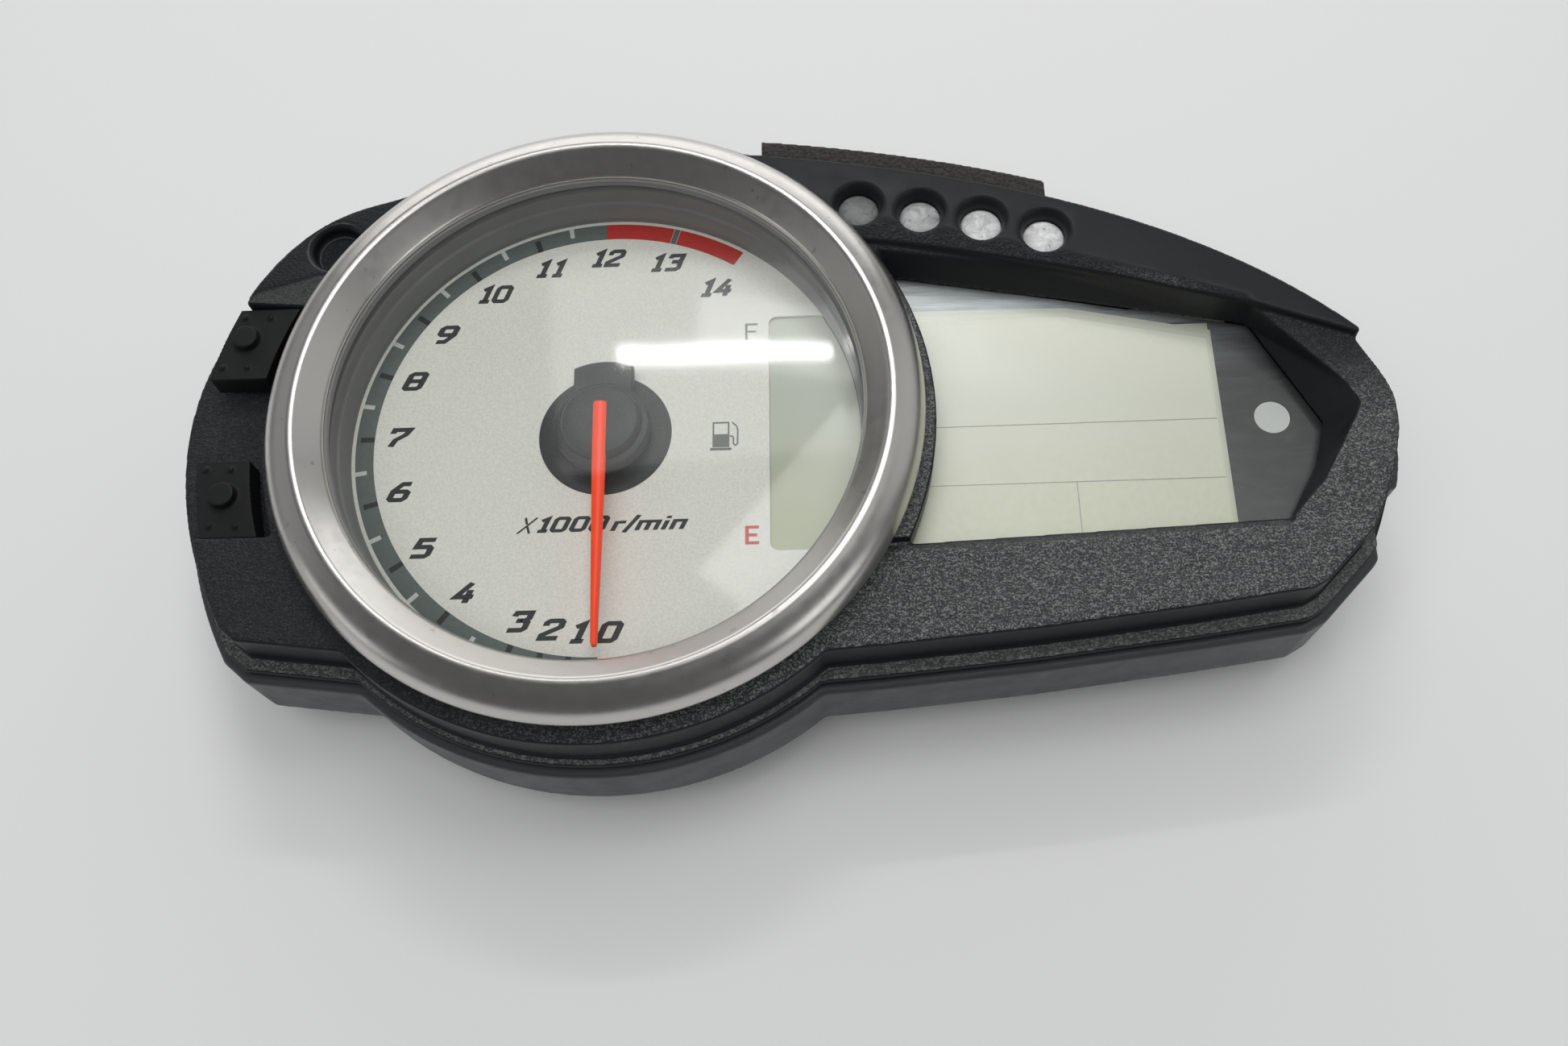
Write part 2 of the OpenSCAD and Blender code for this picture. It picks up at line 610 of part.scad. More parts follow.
// Stem and snap collar that hold a button in the floor of its recess.
module stem(at) color([0.1, 0.1, 0.11]) translate([at.x, at.y, 26.4]) {
    cylinder(r = stem_r, h = 4);
    cylinder(r1 = stem_r + 0.5, r2 = stem_r + 0.9, h = 0.5);
}

module button_upper() {
    union() {
        button(upper_nub, upper_stem, 10.1, 24.3, 0.5,
            [[-64.6, 22.6], [-59.9, 22.4], [-67.2, 12.5], [-62.8, 12.4]]);
        stem(upper_stem);
    }
}

module button_lower() {
    union() {
        button(lower_nub, lower_stem, -20.1, -5.8, -0.5,
            [[-67, -7.4], [-62.7, -7.5], [-64.9, -17.9], [-60.4, -18]]);
        stem(lower_stem);
    }
}

module button_seal(at) color([0.05, 0.05, 0.05]) translate([at.x, at.y, flange_z + e]) difference() {
    cylinder(r = stem_r + 1.1, h = 0.8);
    translate([0, 0, -1]) cylinder(r = stem_r + 0.2, h = 3);
}

module plunger(at) color([0.9, 0.9, 0.88]) translate([at.x, at.y, 24.4]) cylinder(r = 1.6, h = 2);

// ---------------------------------------------------------------- mounting

module insert(at) color([0.72, 0.58, 0.3]) translate([at.x, at.y, 3.5]) difference() {
    cylinder(r = 4, h = 8.5);
    translate([0, 0, -1]) cylinder(r = insert_bore_r, h = 11);
}

module isolator(at) color([0.06, 0.06, 0.06]) translate([at.x, at.y, 0]) difference() {
    cylinder(r = isolator_r, h = 3.5);
    translate([0, 0, -1]) cylinder(r = 4, h = 6);
}

rear_case();
front_cover();
case_seal();
case_screws();
trim_ring();
dial_lens();
lens_seal();
dial_bezel();
dial_plate();
fuel_lcd();
dial_light_guide();
window_lens();
window_mask();
main_lcd();
lcd_backlight();
lcd_frame();
zebra_main();
zebra_fuel();
pcb();
pcb_screws();
circuit_chips();
backlight_leds();
indicator_leds();
light_tunnel();
for (i = [0:3]) indicator_lens(i);
warning_lens();
motor_case();
motor_cover();
motor_stator();
coil([-11.2, -16.6], [9, 4.4]);  // coil_a
coil([-19.6, -9.4], [4.4, 8]);  // coil_b
rotor_magnet();
rotor_pinion();
idler_gear();
output_gear();
needle();
needle_cap();
button_upper();
button_lower();
button_seal(upper_stem);  // button_seal_upper
button_seal(lower_stem);  // button_seal_lower
switch_body(upper_stem);  // switch_upper
switch_body(lower_stem);  // switch_lower
plunger(upper_stem);  // plunger_upper
plunger(lower_stem);  // plunger_lower
connector_housing();
connector_pins();
connector_seal();
insert(mount_at[0]);  // insert_left
insert(mount_at[1]);  // insert_right
insert(mount_at[2]);  // insert_top
isolator(mount_at[0]);  // isolator_left
isolator(mount_at[1]);  // isolator_right
isolator(mount_at[2]);  // isolator_top
breather_vent();
foam_strip();
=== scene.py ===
import json
import math

import bmesh
import bpy
from mathutils import Matrix, Vector


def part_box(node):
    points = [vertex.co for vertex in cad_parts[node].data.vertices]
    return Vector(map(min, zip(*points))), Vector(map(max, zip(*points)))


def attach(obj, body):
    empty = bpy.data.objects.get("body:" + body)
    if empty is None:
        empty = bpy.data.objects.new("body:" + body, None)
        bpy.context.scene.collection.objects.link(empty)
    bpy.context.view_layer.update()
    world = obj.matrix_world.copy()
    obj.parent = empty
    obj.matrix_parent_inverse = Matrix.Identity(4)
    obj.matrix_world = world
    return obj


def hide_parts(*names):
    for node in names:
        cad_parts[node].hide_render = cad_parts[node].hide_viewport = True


# Shapes are in millimetres, and a pattern's scale is about how many of its grains fit in a metre.
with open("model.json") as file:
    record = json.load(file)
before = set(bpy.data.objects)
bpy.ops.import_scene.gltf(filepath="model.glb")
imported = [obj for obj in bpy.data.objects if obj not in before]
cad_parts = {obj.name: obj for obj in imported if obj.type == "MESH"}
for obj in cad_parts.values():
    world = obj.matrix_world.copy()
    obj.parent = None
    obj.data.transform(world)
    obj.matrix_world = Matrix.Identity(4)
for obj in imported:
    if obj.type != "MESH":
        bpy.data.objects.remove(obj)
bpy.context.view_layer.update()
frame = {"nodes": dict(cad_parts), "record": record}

MM = 0.001
HOUSING = "housing"
NODES = frame["nodes"]
SLOT_OF = {part["node"]: part["material_slot"] for part in frame["record"]["subparts"]}
BASE_COLOUR = {m["slot"]: m["base_color"] for m in frame["record"]["materials"]}


def node_top(node):
    """Height of a CAD node's upper end, in millimetres."""
    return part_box(node)[1].z / MM


def node_bottom(node):
    """Height of a CAD node's lower end, in millimetres."""
    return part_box(node)[0].z / MM


# Heights and radii in millimetres, read from the frame.
DIAL_Z = node_top("dial_plate")
CREST_Z = node_top("trim_ring")
RING_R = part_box("trim_ring")[1].x / MM
VISOR_Z = node_top("front_cover")
# The cover's level face lies this far below its visor, and the view through the ring is this much smaller.
FACE_Z = VISOR_Z - 2.5
VIEW_R = RING_R - 10
# Where the pointer rests, in degrees round from +X.
ZERO_ANGLE = -89.0


# ---------------------------------------------------------------- mesh helpers

def new_object(name, verts, faces):
    """A mesh object from points in millimetres."""
    mesh = bpy.data.meshes.new(name)
    mesh.from_pydata([Vector(v) * MM for v in verts], [], faces)
    obj = bpy.data.objects.new(name, mesh)
    bpy.context.scene.collection.objects.link(obj)
    return obj


def tidy_normals(obj, crease=35.0):
    """Makes the faces look outward and shades them smooth up to the crease angle."""
    bm = bmesh.new()
    bm.from_mesh(obj.data)
    bmesh.ops.recalc_face_normals(bm, faces=bm.faces)
    bm.to_mesh(obj.data)
    bm.free()
    for polygon in obj.data.polygons:
        polygon.use_smooth = True
    obj.data.set_sharp_from_angle(angle=math.radians(crease))
    return obj


def without_sparkle(*objects):
    """Keeps mirror-like pieces from throwing grainy light spots on the matt surfaces round them."""
    for obj in objects:
        obj.visible_diffuse = False


def place(obj, body, slot, *replaced, materials=None):
    """Rides a piece on its body, hides the nodes it stands for, and gives it its materials, by default its
    slot's.
    """
    for material in materials or [slot_material(slot)]:
        obj.data.materials.append(material)
    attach(obj, body)
    if replaced:
        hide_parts(*replaced)
    return obj


def arc_points(centre, radius, start, end, steps):
    """Points along an arc between two angles in degrees, both ends included."""
    return [
        (
            centre[0] + radius * math.cos(math.radians(start + (end - start) * i / steps)),
            centre[1] + radius * math.sin(math.radians(start + (end - start) * i / steps)),
        )
        for i in range(steps + 1)
    ]


def curve_points(a, b, c, d, steps):
    """Points along a cubic curve between a and d, steered by b and c."""
    points = []
    for i in range(steps + 1):
        t = i / steps
        u = 1 - t
        weights = (u * u * u, 3 * u * u * t, 3 * u * t * t, t * t * t)
        points.append(tuple(sum(w * p[k] for w, p in zip(weights, (a, b, c, d))) for k in range(2)))
    return points


def revolve(name, profile, centre=(0, 0), segments=256, crease=35.0):
    """A closed (radius, height) outline turned round a vertical axis."""
    verts, faces, rows = [], [], []
    for radius, z in profile:
        if radius < 1e-6:
            rows.append([len(verts)] * segments)
            verts.append((centre[0], centre[1], z))
        else:
            rows.append([len(verts) + i for i in range(segments)])
            for i in range(segments):
                angle = 2 * math.pi * i / segments
                across, along = radius * math.cos(angle), radius * math.sin(angle)
                verts.append((centre[0] + across, centre[1] + along, z))
    for j, row in enumerate(rows):
        after = rows[(j + 1) % len(rows)]
        for i in range(segments):
            k = (i + 1) % segments
            face = list(dict.fromkeys((row[i], row[k], after[k], after[i])))
            if len(face) > 2:
                faces.append(face)
    return tidy_normals(new_object(name, verts, faces), crease)


def rounded(a, b, steps=4):
    """A quarter round between two profile points that leaves the first one upright."""
    (r0, z0), (r1, z1) = a, b
    points = []
    for i in range(steps + 1):
        t = math.pi / 2 * i / steps
        points.append((r0 + (r1 - r0) * (1 - math.cos(t)), z0 + (z1 - z0) * math.sin(t)))
    return points


def slab(name, outlines, z, thickness):
    """Flat plates: every outline is one simple polygon, z is the plates' upper face."""
    verts, faces = [], []
    for outline in outlines:
        start, n = len(verts), len(outline)
        verts += [(x, y, z) for x, y in outline] + [(x, y, z - thickness) for x, y in outline]
        faces.append([start + i for i in range(n)])
        faces.append([start + n + i for i in reversed(range(n))])
        for i in range(n):
            after = (i + 1) % n
            faces.append([start + i, start + n + i, start + n + after, start + after])
    return tidy_normals(new_object(name, verts, faces), 30)


def sector(r0, r1, a0, a1):
    """Outline of a piece of a ring between two radii and two angles, which share the dial's centre."""
    steps = max(1, int(abs(a1 - a0) / 1.5))
    return arc_points((0, 0), r1, a0, a1, steps) + arc_points((0, 0), r0, a1, a0, steps)


def ribbon(points, width, closed=False):
    """Quads that follow a line of points at an even width, mitred at the corners."""
    count = len(points)
    sides = []
    for i, point in enumerate(points):
        here = Vector(point)
        before = Vector(points[i - 1]) if i or closed else None
        after = Vector(points[(i + 1) % count]) if i < count - 1 or closed else None
        into = (here - before).normalized() if before is not None else (after - here).normalized()
        out = (after - here).normalized() if after is not None else into
        mitre = (Vector((-into.y, into.x)) + Vector((-out.y, out.x))).normalized()
        reach = width / 2 / max(0.4, mitre.dot(Vector((-into.y, into.x))))
        sides.append((here + mitre * reach, here - mitre * reach))
    spans = range(count if closed else count - 1)
    return [[sides[i][1], sides[(i + 1) % count][1], sides[(i + 1) % count][0], sides[i][0]] for i in spans]


def cad_copy(node, name):
    """A copy of a CAD node's mesh with its split edges joined, as a new piece."""
    obj = bpy.data.objects.new(name, NODES[node].data.copy())
    bpy.context.scene.collection.objects.link(obj)
    obj.data.materials.clear()
    bm = bmesh.new()
    bm.from_mesh(obj.data)
    weld = 0.002
    bmesh.ops.remove_doubles(bm, verts=bm.verts, dist=weld * MM)
    bmesh.ops.recalc_face_normals(bm, faces=bm.faces)
    bm.to_mesh(obj.data)
    bm.free()
    return obj


def apply_modifiers(obj):
    """Bakes the modifiers into the mesh, so that none is left."""
    depsgraph = bpy.context.evaluated_depsgraph_get()
    mesh = bpy.data.meshes.new_from_object(obj.evaluated_get(depsgraph))
    obj.modifiers.clear()
    old = obj.data
    obj.data = mesh
    bpy.data.meshes.remove(old)
    return obj


def cut_away(obj, other):
    """Cuts another solid out of obj, and removes the other."""
    modifier = obj.modifiers.new("cut_away", "BOOLEAN")
    modifier.operation = "DIFFERENCE"
    modifier.solver = "EXACT"
    modifier.object = other
    apply_modifiers(obj)
    mesh = other.data
    bpy.data.objects.remove(other)
    bpy.data.meshes.remove(mesh)
    return obj


def soften(obj, voxel, steps, keep):
    """Rounds every edge of a solid: remesh with that voxel, smooth in steps, keep a share of the faces."""
    remesh = obj.modifiers.new("remesh", "REMESH")
    remesh.mode = "VOXEL"
    remesh.voxel_size = voxel * MM
    smooth = obj.modifiers.new("smooth", "SMOOTH")
    smooth.factor = 0.5
    smooth.iterations = steps
    thin = obj.modifiers.new("thin", "DECIMATE")
    thin.ratio = keep
    apply_modifiers(obj)
    for polygon in obj.data.polygons:
        polygon.use_smooth = True
    return obj


def loft(name, sections):
    """A closed solid through equal-length closed cross-sections, capped at both ends."""
    n = len(sections[0])
    verts = [point for section in sections for point in section]
    faces = [
        [j * n + i, j * n + (i + 1) % n, (j + 1) * n + (i + 1) % n, (j + 1) * n + i]
        for j in range(len(sections) - 1)
        for i in range(n)
    ]
    faces.append(list(range(n)))
    faces.append([(len(sections) - 1) * n + i for i in reversed(range(n))])
    return tidy_normals(new_object(name, verts, faces))


# ---------------------------------------------------------------- materials

class Look:
    """A Principled material with short calls for the nodes that pattern it."""

    def __init__(self, name, colour, roughness, **sockets):
        self.material = bpy.data.materials.new(name)
        self.material.use_nodes = True
        self.tree = self.material.node_tree
        self.shader = self.tree.nodes["Principled BSDF"]
        self.shader.inputs["Base Color"].default_value = (*colour[:3], 1)
        self.shader.inputs["Roughness"].default_value = roughness
        for socket, value in sockets.items():
            self.shader.inputs[socket.replace("_", " ")].default_value = value
        self.coordinates = self.tree.nodes.new("ShaderNodeTexCoord").outputs["Object"]
        self.bump_before = None

    def node(self, kind, **inputs):
        node = self.tree.nodes.new(kind)
        for socket, value in inputs.items():
            self.feed(node.inputs[socket.replace("_", " ")], value)
        return node

    def feed(self, socket, value):
        if isinstance(value, bpy.types.NodeSocket):
            self.tree.links.new(value, socket)
        else:
            socket.default_value = value

    def stretched(self, scale):
        return self.node("ShaderNodeMapping", Vector=self.coordinates, Scale=scale).outputs["Vector"]

    def noise(self, scale, detail=4.0, roughness=0.55, distortion=0.0, vector=None):
        node = self.node(
            "ShaderNodeTexNoise", Vector=vector or self.coordinates, Scale=scale, Detail=detail,
            Roughness=roughness, Distortion=distortion,
        )
        return node.outputs["Fac"]

    def cells(self, scale, vector=None):
        node = self.tree.nodes.new("ShaderNodeTexVoronoi")
        node.feature = "SMOOTH_F1"
        self.feed(node.inputs["Vector"], vector or self.coordinates)
        node.inputs["Scale"].default_value = scale
        return node.outputs["Distance"]

    def ramp(self, value, low, high, a=0.0, b=1.0):
        node = self.node("ShaderNodeMapRange", Value=value, **{"From_Min": low, "From_Max": high})
        node.inputs["To Min"].default_value = a
        node.inputs["To Max"].default_value = b
        return node.outputs["Result"]

    def math(self, operation, a, b):
        node = self.tree.nodes.new("ShaderNodeMath")
        node.operation = operation
        self.feed(node.inputs[0], a)
        self.feed(node.inputs[1], b)
        return node.outputs[0]

    def times(self, a, b):
        return self.math("MULTIPLY", a, b)

    def plus(self, a, b):
        return self.math("ADD", a, b)

    def inverse(self, value):
        return self.math("SUBTRACT", 1.0, value)

    def mix(self, factor, a, b):
        node = self.tree.nodes.new("ShaderNodeMix")
        node.data_type = "RGBA"
        self.feed(node.inputs["Factor"], factor)
        for socket, value in zip([s for s in node.inputs if s.type == "RGBA"], (a, b)):
            if isinstance(value, bpy.types.NodeSocket):
                self.feed(socket, value)
            else:
                socket.default_value = (*value[:3], 1)
        return next(s for s in node.outputs if s.type == "RGBA")

    def colour(self, value):
        self.feed(self.shader.inputs["Base Color"], value)
        return self

    def roughness(self, value):
        self.feed(self.shader.inputs["Roughness"], value)
        return self

    def bump(self, height, strength, distance):
        """Adds a relief of that depth in millimetres on top of what is there."""
        node = self.node("ShaderNodeBump", Height=height, Distance=distance * MM)
        self.feed(node.inputs["Strength"], strength)
        if self.bump_before is not None:
            self.feed(node.inputs["Normal"], self.bump_before)
        self.bump_before = node.outputs["Normal"]
        self.feed(self.shader.inputs["Normal"], self.bump_before)
        return self

    def across(self, axis, zero_at, one_at):
        """A mask that is 0 at one place along that axis and 1 at the other, in millimetres."""
        split = self.node("ShaderNodeSeparateXYZ", Vector=self.coordinates)
        return self.ramp(split.outputs[axis], zero_at * MM, one_at * MM)

    def facing_up(self, low, high):
        """0 to 1 as the upward part of the surface's normal goes from low to high."""
        normal = self.node("ShaderNodeNewGeometry").outputs["Normal"]
        split = self.node("ShaderNodeSeparateXYZ", Vector=normal)
        return self.ramp(split.outputs["Z"], low, high)


def scaled(colour, factor):
    """The colour times a factor, held to 1 in each channel."""
    return tuple(min(1.0, c * factor) for c in colour[:3])


def plastic(name, colour, roughness=0.45, grain=0.25, size=900, **sockets):
    """Moulded plastic: a fine spark texture, uneven gloss and a faint tone change."""
    look = Look(name, colour, roughness, **sockets)
    fine = look.noise(size * 2.2, 3)
    broad = look.noise(60, 3)
    look.colour(look.mix(broad, scaled(colour, 0.82), scaled(colour, 1.22)))
    look.roughness(look.ramp(look.noise(220, 4), 0.3, 0.7, roughness * 0.86, min(1, roughness * 1.16)))
    return look.bump(fine, grain, 0.05)


# Colour of the light specks in the leather grain: partly dust, partly painted sheen.
DUST_AND_SHEEN_GRAIN = (0.2, 0.218, 0.212)
# Heights between which a mask fades: up into the visor's upper face, and up out of the outer ledge.
VISOR_FROM = (FACE_Z + 2.15, FACE_Z + 2.4)
LEDGE_TO = (FACE_Z - 7.8, FACE_Z - 7.5)


def cover_black():
    """Black cover: leather grain on its level faces, smooth satin on the visor and the walls."""
    colour = BASE_COLOUR["cover_black"]
    look = Look("cover_black", colour, 0.4, **{"Specular IOR Level": 0.6})
    pressed = look.stretched((1.0, 1.35, 1.0))
    swirl = look.noise(1350, 3, 0.6, 1.4, pressed)
    pebbles = look.cells(2300, pressed)
    wrinkle = look.plus(look.times(swirl, 1.1), look.times(pebbles, 0.75))
    level = look.facing_up(0.80, 0.93)
    grained = look.times(level, look.inverse(look.across("Z", *VISOR_FROM)))
    look.bump(wrinkle, look.plus(look.times(grained, 0.75), 0.06), 0.34)
    look.bump(look.noise(2600, 2), 0.12, 0.03)

    # Light specks in the grain, partly dust and partly painted sheen: most on the lower panel, least at the
    # left, top and nose, as the light falls.
    toned = look.mix(look.noise(45, 3), scaled(colour, 0.85), scaled(colour, 1.2))
    specks = look.times(look.ramp(look.plus(swirl, look.noise(3400, 2)), 0.96, 1.2), grained)
    # Painted sheen: the specks grow lighter towards +X, where the light falls, and are held back at the nose
    # and top.
    lightened = look.plus(look.times(look.across("X", -30, 50), 0.88), 0.12)
    nose = look.times(look.across("X", 96, 104), look.across("Y", -6, 6))
    kept_dark = look.math("MAXIMUM", nose, look.across("Y", 19, 25))
    lightened = look.times(lightened, look.inverse(look.times(kept_dark, 0.85)))
    patchy = look.mix(look.times(specks, lightened), toned, DUST_AND_SHEEN_GRAIN)

    # The sloped facet above the upper button is painted lighter: painted light on the slope.
    tilted = look.times(look.facing_up(0.8, 0.86), look.inverse(look.facing_up(0.90, 0.96)))
    beside_button = look.times(look.across("X", -44, -48), look.across("Y", 24, 24.5))
    facet = look.times(look.times(tilted, beside_button), look.ramp(swirl, 0.3, 0.6, 0.4, 1.0))
    patchy = look.mix(facet, patchy, scaled(DUST_AND_SHEEN_GRAIN, 0.4))

    # The ledge along the front edge carries the coarsest, lightest grain.
    ledge = look.times(level, look.inverse(look.across("Z", *LEDGE_TO)))
    ledge = look.times(ledge, look.across("Y", -21.5, -24))
    coarse = look.mix(look.ramp(swirl, 0.45, 0.65), scaled(DUST_AND_SHEEN_GRAIN, 0.25), scaled(DUST_AND_SHEEN_GRAIN, 0.95))
    look.colour(look.mix(ledge, patchy, coarse))

    sparkle = look.plus(look.times(look.times(grained, lightened), 0.6), 0.22)
    look.feed(look.shader.inputs["Specular IOR Level"], sparkle)
    gloss = look.ramp(look.noise(160, 4), 0.3, 0.7, 0.36, 0.5)
    look.roughness(look.plus(look.times(grained, 0.06), gloss))
    return look.material


def case_black():
    """Rear case: satin moulded wall with a fine spark texture."""
    colour = BASE_COLOUR["case_black"]
    look = Look("case_black", colour, 0.42, **{"Specular IOR Level": 0.4})
    look.colour(look.mix(look.noise(50, 4), scaled(colour, 1.7), scaled(colour, 2.5)))
    look.roughness(look.ramp(look.noise(200, 4), 0.3, 0.7, 0.36, 0.5))
    look.bump(look.noise(1900, 3), 0.3, 0.05)
    return look.material


def ring_satin():
    """Satin nickel: soft clouding in tone and gloss, a fine relief and small dark specks."""
    colour = BASE_COLOUR["ring_satin"]
    look = Look("ring_satin", colour, 0.3, Metallic=1.0)
    broad = look.noise(28, 3)
    red, green, blue = colour[:3]
    warm = look.mix(broad, (red * 0.97, green * 0.99, blue * 0.97), (red * 1.03, green, blue * 1.06))
    specks = look.ramp(look.noise(420, 2), 0.70, 0.74)
    look.colour(look.mix(look.times(specks, 0.35), warm, scaled(colour, 0.35)))
    look.roughness(look.ramp(look.noise(500, 5), 0.25, 0.75, 0.27, 0.36))
    look.bump(look.noise(3200, 2), 0.1, 0.02)
    return look.material


def dial_silver():
    """Silver print: a fine flake that varies its tone, gloss and relief."""
    colour = BASE_COLOUR["dial_silver"]
    look = Look("dial_silver", colour, 0.5)
    flake = look.noise(2400, 2, 0.7)
    toned = look.mix(look.noise(35, 2), scaled(colour, 0.97), scaled(colour, 1.03))
    look.colour(look.mix(look.ramp(flake, 0.38, 0.62), toned, scaled(colour, 1.14)))
    look.roughness(look.ramp(flake, 0.3, 0.7, 0.44, 0.58))
    return look.bump(flake, 0.15, 0.02).material


def liquid_crystal(name, colour, bright, olive):
    """Unlit liquid crystal: a pale panel, lightened towards its top edge as painted light, and tinted low
    down.
    """
    look = Look(name, colour, 0.35)
    shaded = tuple(channel * factor for channel, factor in zip(colour, olive))
    lower = look.mix(look.across("Y", -17, 3), shaded, colour)
    # Painted light: above the middle the panel grows lighter towards its top edge by the bright factor.
    panel = look.mix(look.across("Y", 3, 20), lower, scaled(colour, bright))
    cloud = look.mix(look.noise(18, 2), scaled(colour, 0.94), colour)
    tinted = look.mix(0.75, cloud, panel)
    look.colour(look.mix(look.ramp(look.noise(900, 2), 0.3, 0.7, 0.0, 0.25), tinted, scaled(colour, 1.06)))
    look.roughness(look.ramp(look.noise(120, 3), 0.3, 0.7, 0.3, 0.42))
    return look.material


def clear_lens(name="clear_lens", smooth=0.055, patchy=0.075):
    """Clear sheet: passes light straight through and mirrors it by its angle."""
    look = Look(name, (0.95, 0.97, 0.97), 0.04)
    tree = look.tree
    gloss = look.node("ShaderNodeBsdfGlossy", Color=(1, 1, 1, 1))
    look.feed(gloss.inputs["Roughness"], look.ramp(look.noise(40, 3), 0.3, 0.7, smooth, patchy))
    facing = look.node("ShaderNodeLayerWeight", Blend=0.5).outputs["Facing"]
    mirrored = look.plus(look.times(look.math("POWER", facing, 5.0), 0.6), 0.021)
    clear = look.node("ShaderNodeBsdfTransparent", Color=(0.97, 0.98, 0.97, 1))
    mixer = tree.nodes.new("ShaderNodeMixShader")
    tree.links.new(mirrored, mixer.inputs[0])
    tree.links.new(clear.outputs[0], mixer.inputs[1])
    tree.links.new(gloss.outputs[0], mixer.inputs[2])
    tree.links.new(mixer.outputs[0], tree.nodes["Material Output"].inputs["Surface"])
    return look.material


def frosted(name="lens_frosted", tone=1.0):
    """Frosted light pipe: mottled grey white with small dark pits."""
    colour = scaled(BASE_COLOUR["lens_frosted"], tone)
    look = Look(name, colour, 0.38)
    mottle = look.ramp(look.noise(420, 5, 0.65, 0.8), 0.35, 0.65)
    pits = look.ramp(look.noise(1100, 2), 0.66, 0.72)
    base = look.mix(mottle, scaled(colour, 0.55), scaled(colour, 1.12))
    look.colour(look.mix(pits, base, scaled(colour, 0.3)))
    look.roughness(look.ramp(mottle, 0, 1, 0.3, 0.5))
    return look.bump(mottle, 0.3, 0.12).material


def mask_film():
    """Printed dark film: semi-gloss grey with light rub marks, and a painted reflection haze in streaks at
    its upper left.
    """
    colour = BASE_COLOUR["mask_dark"]
    look = Look("mask_dark", colour, 0.4)
    marks = look.ramp(look.noise(90, 6, 0.7, 1.5, look.stretched((1, 3, 1))), 0.45, 0.75)
    streaks = look.ramp(look.noise(70, 6, 0.7, 0.6, look.stretched((0.5, 5, 1))), 0.35, 0.65, 0.35, 1.0)
    # Painted reflection: pale streaks at the upper left stand in for a reflected light.
    reflection_haze = look.times(look.across("X", 124, 84), look.across("Y", 8, 22))
    lightened = look.mix(marks, scaled(colour, 1.5), scaled(colour, 2.4))
    look.colour(look.mix(look.times(streaks, reflection_haze), lightened, scaled(colour, 20)))
    look.roughness(look.ramp(marks, 0, 1, 0.36, 0.52))
    return look.bump(look.noise(1500, 2), 0.1, 0.03).material


def foam():
    """Dull foam: dense small pores in tone and relief, with a faint sheen."""
    colour = BASE_COLOUR["foam_grey"]
    look = Look("foam_grey", colour, 0.95, **{"Sheen Weight": 0.15, "Sheen Roughness": 0.5})
    pores = look.cells(1700)
    look.colour(look.mix(look.ramp(pores, 0.15, 0.6), scaled(colour, 0.35), scaled(colour, 0.75)))
    look.bump(pores, 0.9, 0.3)
    return look.bump(look.noise(350, 4), 0.5, 0.4).material


def rubber(name, colour, grain=0.35):
    """Matt rubber with a dusty tone change."""
    look = Look(name, colour, 0.62, **{"Specular IOR Level": 0.3})
    look.colour(look.mix(look.noise(140, 4), scaled(colour, 0.6), scaled(colour, 1.1)))
    look.roughness(look.ramp(look.noise(260, 3), 0.3, 0.7, 0.54, 0.7))
    return look.bump(look.noise(1500, 3), grain, 0.06).material


def metal(name, colour, roughness=0.32, stretch=(1, 1, 14)):
    """Turned or brushed metal, with lines drawn out one way."""
    look = Look(name, colour, roughness, Metallic=1.0)
    lines = look.noise(260, 4, vector=look.stretched(stretch))
    look.colour(look.mix(lines, scaled(colour, 0.8), scaled(colour, 1.12)))
    look.roughness(look.ramp(lines, 0.3, 0.7, roughness * 0.8, roughness * 1.3))
    return look.bump(lines, 0.25, 0.03).material


def orange():
    """Fluorescent orange plastic, a little uneven in tone, with a faint painted red glow."""
    colour = BASE_COLOUR["needle_orange"]
    # Painted glow: a faint red emission, though the pointer is no lamp.
    glow = {"Emission Color": (1.0, 0.06, 0.015, 1), "Emission Strength": 0.22}
    look = Look("needle_orange", colour, 0.4, **glow)
    look.colour(look.mix(look.noise(300, 3), scaled(colour, 0.92), scaled(colour, 1.06)))
    return look.bump(look.noise(1200, 2), 0.08, 0.02).material


def print_ink(name, colour):
    """Screen-printed ink: matt, with a fine unevenness."""
    look = Look(name, colour, 0.5)
    look.colour(look.mix(look.noise(1300, 3), scaled(colour, 0.85), scaled(colour, 1.2)))
    return look.bump(look.noise(2600, 2), 0.1, 0.02).material


# Slots whose material has a function of its own, and the materials made so far.
SPECIAL = {
    "cover_black": cover_black,
    "case_black": case_black,
    "ring_satin": ring_satin,
    "dial_silver": dial_silver,
    "clear_lens": clear_lens,
    "lens_frosted": frosted,
    "mask_dark": mask_film,
    "foam_grey": foam,
    "needle_orange": orange,
}
made = {}


def slot_material(slot):
    """The material of one of the record's slots, made once."""
    if slot in made:
        return made[slot]
    row = next(m for m in frame["record"]["materials"] if m["slot"] == slot)
    colour, kind = row["base_color"], row["class"]
    if slot in SPECIAL:
        made[slot] = SPECIAL[slot]()
    elif slot.startswith("lcd_"):
        made[slot] = liquid_crystal(slot, colour, 1.0, (0.93, 0.9, 0.64))
    elif kind == "rubber":
        made[slot] = rubber(slot, colour)
    elif kind in ("brass", "brushed_steel", "aluminium", "cast_iron"):
        made[slot] = metal(slot, colour)
    elif kind == "gloss_plastic":
        made[slot] = plastic(slot, colour, 0.25, 0.1).material
    else:
        made[slot] = plastic(slot, colour).material
    return made[slot]


